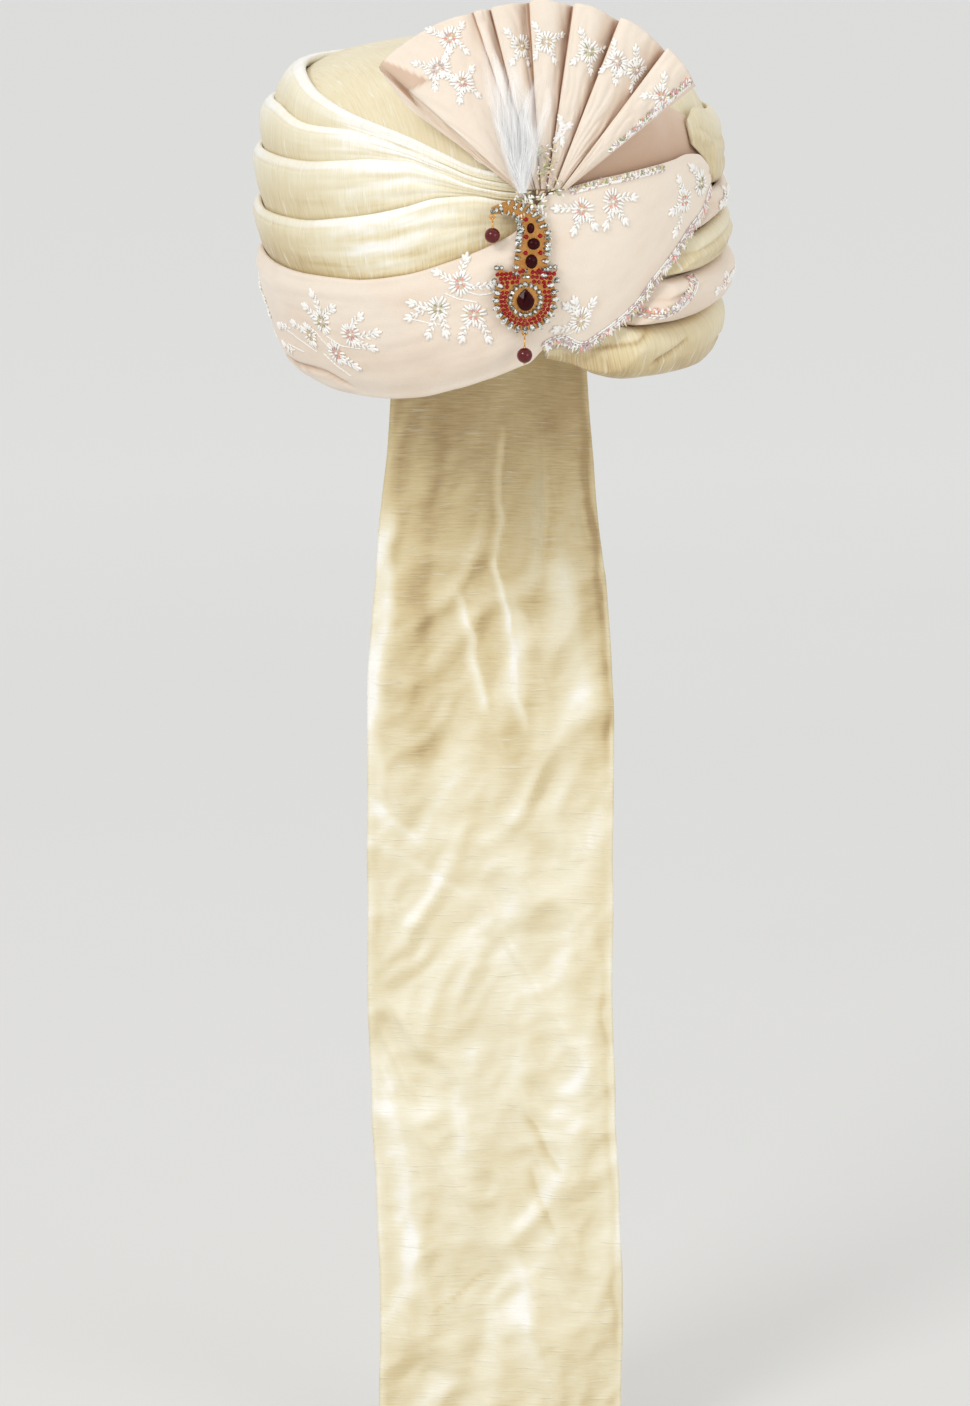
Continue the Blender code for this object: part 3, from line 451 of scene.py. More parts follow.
def addCone(bm, radius, topRadius, height, sides, place):
    made = bmesh.ops.create_cone(bm, cap_ends=True, segments=sides, radius1=radius, radius2=topRadius,
                                 depth=height)["verts"]
    bmesh.ops.transform(bm, matrix=place, verts=made)


def raiseFace(bm, face, depth):
    grown = bmesh.ops.extrude_face_region(bm, geom=[face])["geom"]
    verts = [v for v in grown if isinstance(v, bmesh.types.BMVert)]
    bmesh.ops.translate(bm, verts=verts, vec=(0, 0, depth))
    return next(f for f in grown if isinstance(f, bmesh.types.BMFace))


def clothGrid(columns, rows, place):  # place(u, v) gives the point, its UV in metres and its tone
    bm = bmesh.new()
    bmesh.ops.create_grid(bm, x_segments=columns, y_segments=rows, size=0.5)
    # the tone layer holds each point's painted shade and sheen, which the finishes turn into colour
    toneLayer = bm.verts.layers.float.new("tone")
    uvLayer = bm.loops.layers.uv.new("weave")
    flat = {}
    for vert in bm.verts:
        at, uv, tone = place(vert.co.x + 0.5, vert.co.y + 0.5)
        flat[vert] = uv
        vert.co = at
        vert[toneLayer] = tone
    for face in bm.faces:
        for loop in face.loops:
            loop[uvLayer].uv = flat[loop.vert]
    return bm


class Pile:  # many small shapes, made a few at a time and gathered in one mesh
    def __init__(self):
        self.whole = bmesh.new()
        self.part = bmesh.new()

    def next(self):
        if len(self.part.verts) > 900:
            self.gather()
        return self.part

    def gather(self):
        self.add(self.part)
        self.part = bmesh.new()

    def add(self, bm):
        mesh = bpy.data.meshes.new("part")
        bm.to_mesh(mesh)
        bm.free()
        self.whole.from_mesh(mesh)
        bpy.data.meshes.remove(mesh)

    def all(self):
        self.gather()
        return self.whole


# where the wraps lie: azimuths and the shares of their edges there

wrapTables = {
    "folds": {
        "azimuth": (-178, -135, -92, -74, -52, -38, -29, -21, -12, -4, 3, 9),
        "silk_fold_1": (0.700, 0.705, 0.700, 0.682, 0.636, 0.604, 0.586, 0.568, 0.539, 0.510, 0.496, 0.488),
        "silk_fold_2": (0.600, 0.610, 0.618, 0.612, 0.580, 0.576, 0.563, 0.544, 0.518, 0.491, 0.479, 0.472),
        "silk_fold_3": (0.490, 0.500, 0.518, 0.512, 0.504, 0.512, 0.519, 0.519, 0.497, 0.472, 0.460, 0.455),
        "silk_fold_4": (0.370, 0.378, 0.392, 0.372, 0.366, 0.381, 0.397, 0.418, 0.444, 0.450, 0.440, 0.436),
    },
    "band": {
        "azimuth": (-178, -135, -88, -67, -52, -36, -22, -9, 0, 6, 10,
                    14, 20, 27, 33, 38, 43, 50, 56, 61, 66),
        "upper": (0.240, 0.250, 0.268, 0.245, 0.235, 0.233, 0.250, 0.290, 0.327, 0.362, 0.416,
                  0.452, 0.468, 0.482, 0.490, 0.497, 0.503, 0.512, 0.521, 0.518, 0.492),
        "lower": (0.0, 0.0, -0.010, -0.030, -0.045, -0.048, -0.038, -0.012, 0.0, 0.0, 0.0,
                  0.030, 0.055, 0.098, 0.135, 0.172, 0.231, 0.292, 0.346, 0.380, 0.440),
    },
    "shoulder": {
        "azimuth": (11, 20, 30, 40, 50, 58, 66),
        "upper": (0.500, 0.560, 0.615, 0.645, 0.645, 0.622, 0.590),
    },
    "silk_roll_upper": {
        "lift": 0.0070, "azimuth": (60, 66, 72, 80, 100, 135, 178),
        "lower": (0.540, 0.504, 0.450, 0.446, 0.470, 0.560, 0.600),
        "upper": (0.596, 0.618, 0.618, 0.610, 0.610, 0.670, 0.700),
    },
    "embroidered_roll_upper": {
        "lift": 0.0080, "azimuth": (47, 52, 58, 63, 70, 80, 100, 135, 178),
        "lower": (0.305, 0.318, 0.336, 0.346, 0.360, 0.374, 0.400, 0.470, 0.480),
        "upper": (0.318, 0.342, 0.384, 0.412, 0.436, 0.440, 0.464, 0.554, 0.594),
    },
    "silk_roll_middle": {
        "lift": 0.0105, "azimuth": (37, 42, 50, 60, 70, 80, 100, 135, 178),
        "lower": (0.222, 0.238, 0.240, 0.244, 0.252, 0.270, 0.300, 0.350, 0.360),
        "upper": (0.240, 0.268, 0.305, 0.332, 0.352, 0.368, 0.394, 0.464, 0.474),
    },
    "embroidered_roll_lower": {
        "lift": 0.0140, "azimuth": (23, 30, 40, 51, 65, 80, 100, 135, 178),
        "lower": (0.112, 0.134, 0.128, 0.128, 0.138, 0.160, 0.180, 0.206, 0.210),
        "upper": (0.130, 0.170, 0.226, 0.232, 0.244, 0.264, 0.294, 0.344, 0.354),
    },
    "silk_roll_lower": {
        "lift": 0.0165, "azimuth": (15, 22, 30, 40, 51, 65, 80, 100, 135, 178),
        "lower": (0.052, 0.040, 0.014, 0.0, 0.0, 0.0, 0.0, 0.0, 0.0, 0.0),
        "upper": (0.072, 0.104, 0.127, 0.122, 0.122, 0.132, 0.154, 0.174, 0.200, 0.204),
    },
}
seamAzimuth = -178.0
bandTip = 66.0
outerRadius = 0.13


@lru_cache(maxsize=None)
def edgeAt(wrap, edge, azimuth):
    return curveAt(wrapTables[wrap]["azimuth"], wrapTables[wrap][edge], azimuth)


def bandUpper(azimuth):
    return edgeAt("band", "upper", azimuth)


def bandLower(azimuth):
    return edgeAt("band", "lower", azimuth) + rimArch(azimuth) * (1 - smooth((azimuth - 18) / 8))


def roundRise(t):  # how a padded wrap swells from its foot
    return sin(pi / 2 * min(1.0, t / 0.85)) ** 0.85


def stripRows(tuck, face, roll, back):  # the rows of a wrap's section, from its foot over its face and lip
    rows = [("tuck", k / tuck) for k in range(tuck)]
    rows += [("face", k / face) for k in range(face + 1)]
    rows += [("roll", (k + 1) / roll) for k in range(roll)]
    rows += [("back", (k + 1) / back) for k in range(back)]
    return rows


def wrapSheet(name, start, end, columns, rows, low, high, tuckTo, outer, inner, relief, tone, finish,
              slotName, thickness, backReach=0.2, footRoll=False):
    climb = crownShape["climb"]

    def turned(azimuth, t, turn):  # round a hem: how far past the edge, and the lift
        near = inner(azimuth, t)
        half = (outer(azimuth, t) - near) / 2
        return half / climb * sin(turn), near + half + half * cos(turn)

    def place(u, v):
        azimuth = mix(start, end, u)
        kind, t = rows[round(v * (len(rows) - 1))]
        bottom, top = low(azimuth), high(azimuth)
        if kind == "tuck" and footRoll:  # the hem turns under the rim
            past, lift = turned(azimuth, 0, pi * (1 - t))
            share = bottom - past + (0.02 * (1 - t) if t < 0.3 else 0)
        elif kind == "tuck":
            share, lift = mix(tuckTo(azimuth), bottom, t), mix(layers["tucked"], outer(azimuth, 0), t)
        elif kind == "face":
            share, lift = mix(bottom, top, t), outer(azimuth, t) + relief(azimuth, t)
        elif kind == "roll":
            past, lift = turned(azimuth, 1, pi * t)
            share, lift = top + past * 1.15, lift + relief(azimuth, 1) * (1 - t)
        else:
            share, lift = mix(top, mix(top, bottom, backReach), t), inner(azimuth, 1 - backReach * t)
        beyond = {"roll": 0.002 * t, "back": 0.002 + 0.01 * t}.get(kind, 0.0)
        flat = (radians(azimuth) * crownShape["halfWidth"], (share - bottom) * climb + beyond)
        return lifted(azimuth, share, lift), flat, tone(azimuth, {"tuck": 0, "face": t}.get(kind, 1))

    bm = clothGrid(columns, len(rows) - 1, place)
    return finished(name, bm, finish, slotName, thickness=thickness)


# silk folds on the left

foldSettings = {
    "names": ("silk_fold_1", "silk_fold_2", "silk_fold_3", "silk_fold_4"),
    "tuckShare": 0.30,
    "bandTuckShare": 0.15,
    "gather": 9.0,
    "thickness": 0.0005,
    "columns": 230,
    "flat": (0.40, 0.045),
    "foot": (0.46, 0.40, 0.32, 0.16),
    "climbs": (0.24, 0.22, 0.22, 0.26),
    "satinSheen": (0.40, 0.42, 0.36, 0.62),
}


def foldLip(azimuth):
    full = backTaper(azimuth, layers["foldLip"], layers["backLip"])
    return mix(full, layers["gatheredLip"], smooth((azimuth + 40) / 42))


def foldOuter(azimuth, t):
    swell = 0.55 * roundRise(t) + 0.45 * min(1.0, t / 0.94)
    rounding = 1 - 0.22 * smooth((t - 0.94) / 0.06)
    return layers["tucked"] + (foldLip(azimuth) - layers["tucked"]) * swell * rounding


def makeFolds(settings):
    names = settings["names"]
    edges = [lambda azimuth, name=name: edgeAt("folds", name, azimuth) for name in names]
    edges += [bandUpper, bandLower]
    for k, name in enumerate(names):
        high, low, under = edges[k:k + 3]
        tuck = settings["tuckShare"] if k + 1 < len(names) else settings["bandTuckShare"]

        def tuckTo(azimuth):
            return mix(low(azimuth), under(azimuth), tuck)

        def inner(azimuth, t):
            return layers["overTuck"] if k > 0 and t >= 0.6 else layers["gap"] + 0.0008

        def relief(azimuth, t):
            near = smooth((azimuth + 75) / 75)
            fine = wave(azimuth * 0.035, t * 7.0, 1.0, k, 3) * mix(0.00010, 0.00055, near)
            soft = wave(azimuth * 0.05, t * 1.4, 4.0, k, 2) * 0.0005
            dimple = wave(azimuth * 0.22, t * 0.8, 9.0, k, 2) * 0.00025
            gathers = (crease(azimuth * 0.045, t * 4.2 + azimuth * 0.02, k) - 0.4) * 0.0010
            value = fine + soft + dimple + gathers * smooth((azimuth + 46) / 34)
            value *= smooth(t / 0.12) * mix(1, 0.5, smooth((t - 0.8) / 0.2))
            return value - 0.0009 * bump(t, 0.925, 0.03) * (1 - 0.7 * near)

        # painted light: a lit upper face, a satin sheen near the gather, a lighter band at the left edge and
        # a highlight on the lip go into the tone; each fold starts from its foot level, the lower folds
        # darker
        def tone(azimuth, t):
            lit = smooth((t - 0.25) / 0.70)
            satinSheen = bump(azimuth, -24, 21) * settings["satinSheen"][k] * smooth(t / 0.30)
            satinSheen *= 0.95 + 1.1 * wave(azimuth * 0.05, t * 6, 0, k, 3)
            edge = 0.20 * smooth((-azimuth - 66) / 16) * smooth((azimuth + 110) / 15)
            lip = 0.24 * smooth((t - 0.93) / 0.03)
            value = settings["foot"][k] + settings["climbs"][k] * lit + satinSheen + edge * lit + lip
            return limit(value, 0.02)

        piece = wrapSheet(name.replace("silk_fold", "fold"), seamAzimuth,
                          settings["gather"] - 2.0 * k / len(names), settings["columns"],
                          stripRows(4, 26, 6, 4), low, high, tuckTo, foldOuter, inner, relief, tone,
                          silkFold, "ivory_silk", settings["thickness"])
        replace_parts(piece, name)


makeFolds(foldSettings)
print("turban: silk folds laid")


# embroidered band

bandSettings = {
    "columns": 330,
    "thickness": 0.0006,
    "flat": (0.56, 0.085),
}


def bandOuter(azimuth, t):
    over = smooth((azimuth - 2) / 14)
    lip = backTaper(azimuth, layers["foldLip"], layers["backLip"])
    hem = mix(0.62, 1.0, smooth(t / 0.20))
    edge = 1 - 0.20 * smooth((t - 0.90) / 0.10)
    crossing = layers["standoff"] + layers["bandCloth"] * mix(0.8, 1.25, sin(pi * t))
    return mix(lip * hem * edge, crossing, over)


def bandInner(azimuth, t):
    over = smooth((azimuth - 2) / 14)
    return mix(layers["overTuck"] if t >= 0.80 else layers["gap"], layers["standoff"], over)


def hemCrease(azimuth):  # where the folded hem ends, as a share of the band's height
    return curveAt((-125, -100, -80, -67, -55, -46, -40), (0.02, 0.09, 0.12, 0.14, 0.17, 0.09, 0.0), azimuth)


def hemShown(azimuth):
    return smooth((-azimuth - 41) / 8) * smooth((azimuth + 122) / 14)


def bandRelief(azimuth, t):
    left = 1 - smooth((azimuth + 5) / 20)
    soft = wave(azimuth * 0.04, t * 2.2, 2.0, 11, 3) * 0.0009
    long = wave(azimuth * 0.015, t * 9.0, 6.0, 12, 3) * 0.0004
    long += (crease(azimuth * 0.055 - t * 1.3, t * 2.6 + azimuth * 0.03, 15) - 0.4) * 0.0006 * (1 - left)
    pulls = (crease(azimuth * 0.02, t * 5.0 - azimuth * 0.012, 13) - 0.4) * 0.0006 * left
    above = t - hemCrease(azimuth)
    hem = 0.0016 * hemShown(azimuth) * (1 - smooth((above + 0.012) / 0.02) - bump(above, 0.015, 0.02))
    return (soft + long + pulls) * smooth(t / 0.1) * mix(0.7, 1.0, left) + hem * smooth(t / 0.03)


# painted shade: darker low on the left, a shadow above the hem crease, a darker bottom edge on the right and
# shaded drag lines, with some random unevenness
def bandPaintedShade(azimuth, t):
    low = 0.13 * bump(t, 0.36, 0.34) * (1 - smooth((azimuth + 5) / 20))
    hem = 0.42 * hemShown(azimuth) * bump(t, hemCrease(azimuth) + 0.018, 0.022)
    edge = 0.30 * smooth((azimuth - 12) / 8) * smooth((0.05 - t) / 0.04)
    drawn = 0.16 * max(0, wave(azimuth * 0.07 - t * 1.8, t * 3.5 + azimuth * 0.02, 4, 16, 3))
    return max(0, low + hem + edge + drawn + 0.07 * wave(azimuth * 0.05, t * 2, 1, 3, 2))


def makeBand(settings):
    piece = wrapSheet("embroideredBand", seamAzimuth, bandTip, settings["columns"], stripRows(9, 56, 7, 5),
                      bandLower, bandUpper, bandLower, bandOuter, bandInner, bandRelief, bandPaintedShade,
                      pinkCloth, "pink_cloth", settings["thickness"], backReach=0.12, footRoll=True)
    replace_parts(piece, "embroidered_band")


makeBand(bandSettings)


# pink cloth over the right shoulder

topWrapSettings = {"start": 11.0, "tuck": 0.036, "columns": 90, "thickness": 0.0006, "flat": (0.11, 0.055)}


def topWrapLip(azimuth):
    shown = mix(layers["gatheredLip"], 0.8 * layers["foldLip"], smooth((azimuth - 12) / 16))
    return mix(shown, layers["tucked"] + 0.0003, smooth((azimuth - 44) / 9))


def makeTopWrap(settings):
    def low(azimuth):
        return bandUpper(azimuth) + 0.004

    def outer(azimuth, t):
        rounding = 1 - 0.22 * smooth((t - 0.90) / 0.10)
        return layers["tucked"] + (topWrapLip(azimuth) - layers["tucked"]) * roundRise(t) * rounding

    def relief(azimuth, t):
        shown = smooth(t / 0.15) * smooth((50 - azimuth) / 12)
        return wave(azimuth * 0.09, t * 4, 3.0, 21, 3) * 0.0006 * shown

    # painted shade: the shoulder wrap is shaded all over as under the fan, darker towards its foot
    piece = wrapSheet("shoulderWrap", settings["start"], bandTip, settings["columns"],
                      stripRows(4, 24, 6, 4), low, lambda a: edgeAt("shoulder", "upper", a),
                      lambda a: low(a) - settings["tuck"], outer, lambda a, t: layers["gap"] + 0.0004,
                      relief, lambda a, t: 0.42 + 0.22 * (1 - t), pinkCloth, "pink_cloth",
                      settings["thickness"])
    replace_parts(piece, "embroidered_top_wrap")


makeTopWrap(topWrapSettings)
print("turban: band and shoulder wrap laid")


# padded rolls on the right

rollCreases = {  # azimuth and height at both ends, depth, width
    "silk_roll_upper": ((62, 0.62, 120, 0.55, 0.0010, 0.06), (70, 0.30, 150, 0.35, 0.0007, 0.05)),
    "embroidered_roll_upper": ((52, 0.55, 110, 0.50, 0.0009, 0.07),),
    "silk_roll_middle": ((46, 0.60, 96, 0.70, 0.0013, 0.05), (60, 0.28, 150, 0.40, 0.0009, 0.06)),
    "embroidered_roll_lower": ((28, 0.42, 60, 0.80, 0.0017, 0.045), (70, 0.6, 150, 0.5, 0.0008, 0.06)),
    "silk_roll_lower": ((27, 0.46, 43, 0.97, 0.0026, 0.055), (43, 0.45, 56, 0.78, 0.0022, 0.05),
                        (66, 0.5, 150, 0.45, 0.0010, 0.07)),
}
rollSettings = {"columns": 190, "faceRows": 34, "backRows": 8, "underBand": 0.0036, "tuck": 0.0075}


def mostLift(azimuth, share, seat):  # how high a roll may rise, low under the band
    climb = crownShape["widestHeight"] / crownShape["widestShare"]
    below = (bandLower(azimuth) - share) * climb
    beyond = radians(azimuth - bandTip) * crownShape["halfWidth"]
    above = (share - bandUpper(azimuth)) * climb
    clear = 1.1 * max(0.0, max(below, beyond, above) - rollSettings["tuck"])
    return max(seat + layers["cloth"], rollSettings["underBand"] + clear)


def rollLift(name, azimuth, t):
    table = wrapTables[name]
    full = backTaper(azimuth, table["lift"], layers["backLip"])
    seat, rampLength = layers["gap"], 22
    if name == "silk_roll_upper":  # it starts on the shoulder wrap
        seat = mix(layers["overTuck"] + 0.0006, seat, smooth((azimuth - 68) / 8))
        rampLength = 9
    ramp = smooth((azimuth - table["azimuth"][0] + 2) / rampLength)
    roundOver = max(0.0, 1 - abs(2 * t - 1) ** 2.6) ** 0.5
    lift = seat + layers["cloth"] + (full - seat - layers["cloth"]) * roundOver * ramp
    return lift, seat, ramp


def makeRoll(name, creases):
    table = wrapTables[name]
    start, end = table["azimuth"][0], table["azimuth"][-1]
    faceRows, backRows = rollSettings["faceRows"], rollSettings["backRows"]
    seed = 30 + len(creases) + table["lift"] * 1000
    pink = name.startswith("embroidered")

    def creased(azimuth, t, narrowed=1.0):
        depth = 0.0
        for a0, t0, a1, t1, full, width in creases:
            along = (azimuth - a0) / (a1 - a0)
            fade = smooth((along + 0.1) / 0.3) * smooth((1.15 - along) / 0.3)
            depth += full * bump(t, mix(t0, t1, along), width * narrowed) * fade
        return depth

    def place(u, v):
        azimuth = mix(start, end, u)
        low, high = edgeAt(name, "lower", azimuth), edgeAt(name, "upper", azimuth)
        step = round(v * (faceRows + backRows))
        onFace = step <= faceRows
        t = 0.5 - 0.5 * cos(pi * step / faceRows) if onFace else 1 - (step - faceRows) / backRows
        lift, seat, ramp = rollLift(name, azimuth, t)
        share = mix(low, high, t)
        if onFace:
            relief = wave(azimuth * 0.035, t * 4.5, 5.0, seed, 3) * 0.0009 - creased(azimuth, t)
            relief += wave(azimuth * 0.14, t * 2.0, 8.0, seed, 2) * 0.0005
            lift += relief * ramp * sin(pi * t) ** 0.5
            lift = min(lift, mostLift(azimuth, share, seat))
        else:
            lift = mix(seat, lift, abs(2 * t - 1) ** 8)
        # painted shade in the creases and along the roll edges; on silk rolls the upper face is painted
        # lighter and the lowest roll darker
        creaseShade = 130 * creased(azimuth, t, 0.7)
        edge = smooth((0.10 - t) / 0.10) + 0.6 * smooth((t - 0.93) / 0.07)
        soft = 0.10 * wave(azimuth * 0.05, t * 2.5, 0, seed + 3, 2)
        if pink:
            tone = max(0, 0.10 + 0.16 * (1 - t) + 0.55 * edge + creaseShade + soft)
        else:
            deep = 0.14 if name == "silk_roll_lower" else 0.30
            tone = max(0.02, deep + 0.26 * smooth((t - 0.25) / 0.6) - 0.26 * edge - creaseShade + soft)
        shown = t if onFace else 2 - t
        flat = (radians(azimuth) * outerRadius, shown * (high - low) * 0.25)
        return lifted(azimuth, share, lift), flat, tone

    bm = clothGrid(rollSettings["columns"], faceRows + backRows, place)
    bmesh.ops.remove_doubles(bm, verts=bm.verts, dist=1e-6)
    closeHoles(bm)
    stuff, _, level = name.split("_")
    piece = finished("roll" + stuff.title() + level.title(), bm, pinkCloth if pink else silkFold,
                     "pink_cloth" if pink else "ivory_silk")
    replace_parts(piece, name)


for rollName, rollWork in rollCreases.items():
    makeRoll(rollName, rollWork)
print("turban: rolls padded")


# wound body: dome, rim and the hollow for the head

bodySettings = {
    "around": 220,
    "outside": (0.035, 0.06, 0.10, 0.15, 0.20, 0.26, 0.32, 0.38, 0.44),
    "domeRows": 46,
    "hollowUp": (0.03, 0.20, 0.38, 0.55, 0.66, 0.76, 0.85, 0.92, 0.97),
    "hollowReach": (1.0, 1.0, 0.995, 0.98, 0.925, 0.84, 0.70, 0.52, 0.30),
}


def makeBody(settings):
    s = crownShape
    hollowHeight = s["height"] - s["topPadding"]
    hollow = zip(reversed(settings["hollowUp"]), reversed(settings["hollowReach"]))
    rows = [("in", 1.0, 0.02)] + [("in", up, reach) for up, reach in hollow]
    rows += [("out", share, 0) for share in settings["outside"]]
    rows += [("out", share, 0) for share in spread(0.45, 0.995, settings["domeRows"])] + [("out", 0.9995, 0)]

    def domeRelief(azimuth, share, point):
        towards = hypot(point.x - 0.02, point.y + 0.11)
        turn = atan2(point.x - 0.02, point.y + 0.125)
        pleats = sin(turn * 21 + wave(point.x * 20, point.y * 20, 0, 2) * 2)
        soft = wave(point.x * 14, point.y * 14, 2.0, 41, 3) * 0.0013
        return (pleats * 0.00055 * bump(towards, 0.02, 0.06) + soft) * smooth((share - 0.55) / 0.1)

    def place(u, v):
        azimuth = mix(-180, 180, u)
        kind, first, reach = rows[round(v * (len(rows) - 1))]
        a = radians(azimuth)
        if kind == "in":
            rise = s["widestHeight"] / s["widestShare"] * rimArch(azimuth) * (1 - first)
            point = Vector((s["headHalfWidth"] * reach * sin(a), -s["headHalfDepth"] * reach * cos(a),
                            hollowHeight * first + rise))
            return point, (a * 0.08, first * 0.16), 0.45
        share = first + rimArch(azimuth) * max(0.0, 1 - first / 0.44)
        point = skinPoint(azimuth, share)
        if first > 0.5:
            point = lifted(azimuth, share, domeRelief(azimuth, share, point))
        turn = radians(20)
        flat = (point.x * cos(turn) + point.y * sin(turn), point.y * cos(turn) - point.x * sin(turn))
        return point, flat, 0.50 + 0.12 * wave(point.x * 9, point.y * 9, 0, 43, 2)

    bm = clothGrid(settings["around"], len(rows) - 1, place)
    bmesh.ops.remove_doubles(bm, verts=bm.verts, dist=1e-5)
    closeHoles(bm)
    bmesh.ops.recalc_face_normals(bm, faces=bm.faces)
    piece = finished("crownBody", bm, silkFold, "ivory_silk")
    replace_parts(piece, "crown")


makeBody(bodySettings)
print("turban: crown wound")


# pleated fan

fanSettings = {
    "radius": 0.098, "left": 147.0, "right": 33.0, "baseWidth": 0.026, "cloth": 0.0020, "pleatDepth": 0.42,
    "widest": 0.13, "lean": 12.0, "yaw": 8.0, "cupping": 1.6,
    "azimuth": 12.0, "share": 0.466, "lift": 0.0062,
    "across": (0.0, 0.05, 0.325, 0.370, 0.474, 0.596, 0.728, 0.877, 1.0),
    "reach": (0.80, 1.06, 0.990, 0.975, 0.975, 0.975, 0.985, 1.000, 1.010),
    "sectionAcross": (0.0, 0.10, 0.085, 0.03, -0.005, 0.02, 0.09, 0.22, 0.40, 0.58, 0.74, 0.87, 1.0),
    "sectionRaise": (0.0, 0.04, 0.16, 0.45, 0.80, 0.97, 1.03, 1.02, 0.93, 0.76, 0.50, 0.24, 0.0),
    "perPleat": 48, "rows": 84, "thickness": 0.0007, "flat": (0.18, 0.098),
    "turned": ((144.0, 0.80), (141.5, 1.09), (134.0, 0.76)),
    "recessShade": (0.0, 0.25, 0.45, 0.85, 0.95, 1.0, 1.0, 0.6),
}


def fanFrame():
    s = fanSettings
    return (Matrix.Translation(lifted(s["azimuth"], s["share"], s["lift"]))
            @ Matrix.Rotation(radians(s["yaw"]), 4, "Z") @ Matrix.Rotation(radians(-s["lean"]), 4, "X"))


fanPlace = fanFrame()


def turnedCorner(u, v):  # 1 where the fan's left corner is folded over, 0 elsewhere
    s = fanSettings
    here = Vector(heading(radians(mix(s["left"], s["right"], u)), v))
    corners = [Vector(heading(radians(turn), reach)) for turn, reach in s["turned"]]
    inside = 1.0
    for a, b in zip(corners, corners[1:] + corners[:1]):
        side = (b - a).normalized()
        inside = min(inside, side.x * (a - here).y - side.y * (a - here).x)
    return smooth(inside / 0.012 + 0.5)


def fanPoint(pleat, along, v):  # pleat number, 0 to 1 along its section, 0 to 1 from foot to tip
    s = fanSettings
    folds = s["across"]
    across, raised = splineAt(s["sectionAcross"], along), splineAt(s["sectionRaise"], along)
    if pleat == 0:  # the turned corner lies flat
        across, raised = along, 0.12 * sin(pi * along)
    undercut = across if v > 0.25 else mix(max(0, across), across, v / 0.25)
    u = mix(folds[pleat], folds[pleat + 1], undercut)
    reach = mix(s["reach"][pleat], s["reach"][pleat + 1], limit(across))
    width = min(folds[pleat + 1] - folds[pleat], s["widest"])
    spreading = radians(s["left"] - s["right"])
    x, z = heading(radians(s["left"]) - spreading * u, s["radius"] * reach)
    point = Vector((mix(-0.5, 0.5, u) * s["baseWidth"], 0, 0)).lerp(Vector((x, 0, z)), v)
    depth = s["pleatDepth"] * raised * width * mix(s["baseWidth"], s["radius"] * spreading, v)
    depth += wave(u * 9, v * 2.0, 0, 51 + pleat, 3) * 0.0011 * v
    depth += (crease(u * 26 + v * 2, v * 5.0 - u * 6, 53 + pleat) - 0.4) * 0.0008 * smooth(v / 0.3)
    depth += turnedCorner(u, v) * 0.0009 if pleat < 2 else 0.0
    cup = s["cupping"] * point.x * point.x
    return fanPlace @ (point + Vector((0, cup - depth - s["cloth"], 0)))


def makeFan(settings):
    folds = settings["across"]
    pleats = len(folds) - 1
    fromFourth = settings["sectionAcross"][4:]

    def place(u, v):
        at = u * pleats
        pleat = min(int(at + 1e-6), pleats - 1)
        along = limit(at - pleat)
        reach = v + 0.006 * wave(u * 40, 0, 0, 61, 2) * smooth((v - 0.8) / 0.2)
        # painted shade: the recess at each pleat's side, the undercut under each fold, the turned corner's
        # underside, the first pleat and the fan's foot are darkened
        recessShade = 0.10 * smooth((along - 0.66) / 0.22) + 0.42 * smooth((along - 0.91) / 0.08)
        tone = settings["recessShade"][pleat] * recessShade
        if pleat < 2:
            across = curveAt(spread(1 / 3, 1, 8), fromFourth, max(along, 0.334))
            here = mix(folds[pleat], folds[pleat + 1], along if pleat == 0 else across)
            tone += 0.50 * turnedCorner(here, v)
        else:
            tone += 0.75 * (1 - smooth((along - 0.26) / 0.08))
        tone += 0.20 * (1 - smooth((at - 0.9) / 0.1)) * (1 - smooth((v - 0.85) / 0.1))
        tone += 0.16 * (1 - smooth(v / 0.35)) + 0.08 * wave(u * 30, v * 4, 0, 62, 3)
        return fanPoint(pleat, along, reach), (u * 0.42, v * settings["radius"]), limit(tone)

    bm = clothGrid(pleats * settings["perPleat"], settings["rows"], place)
    piece = finished("pleatedFan", bm, pinkCloth, "pink_cloth", thickness=settings["thickness"])
    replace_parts(piece, "pleated_fan")


makeFan(fanSettings)
print("turban: fan pleated")


# plume

plumeSettings = {
    "azimuth": 7.0, "share": 0.460, "lift": 0.0130, "length": 0.092,
    "vanes": (  # angle, length, width, how far it leans ahead
        (102.5, 1.00, 0.0066, 0.10), (104.0, 0.88, 0.0080, 0.06), (100, 0.84, 0.0096, 0.12),
        (96, 0.78, 0.0104, 0.05), (92, 0.70, 0.0104, 0.14), (87, 0.66, 0.0096, 0.08),
        (82, 0.70, 0.0084, 0.16), (77, 0.60, 0.0076, 0.10), (98, 0.56, 0.0110, 0.20),
        (89, 0.48, 0.0100, 0.22), (108, 0.50, 0.0066, 0.12), (103, 0.80, 0.0170, 0.03),
        (92, 0.84, 0.0180, 0.04), (80, 0.70, 0.0150, 0.03),
    ),
    "wispy": 0.014,
    "barbs": 110, "barbWidth": 0.00036, "steps": 22,
}


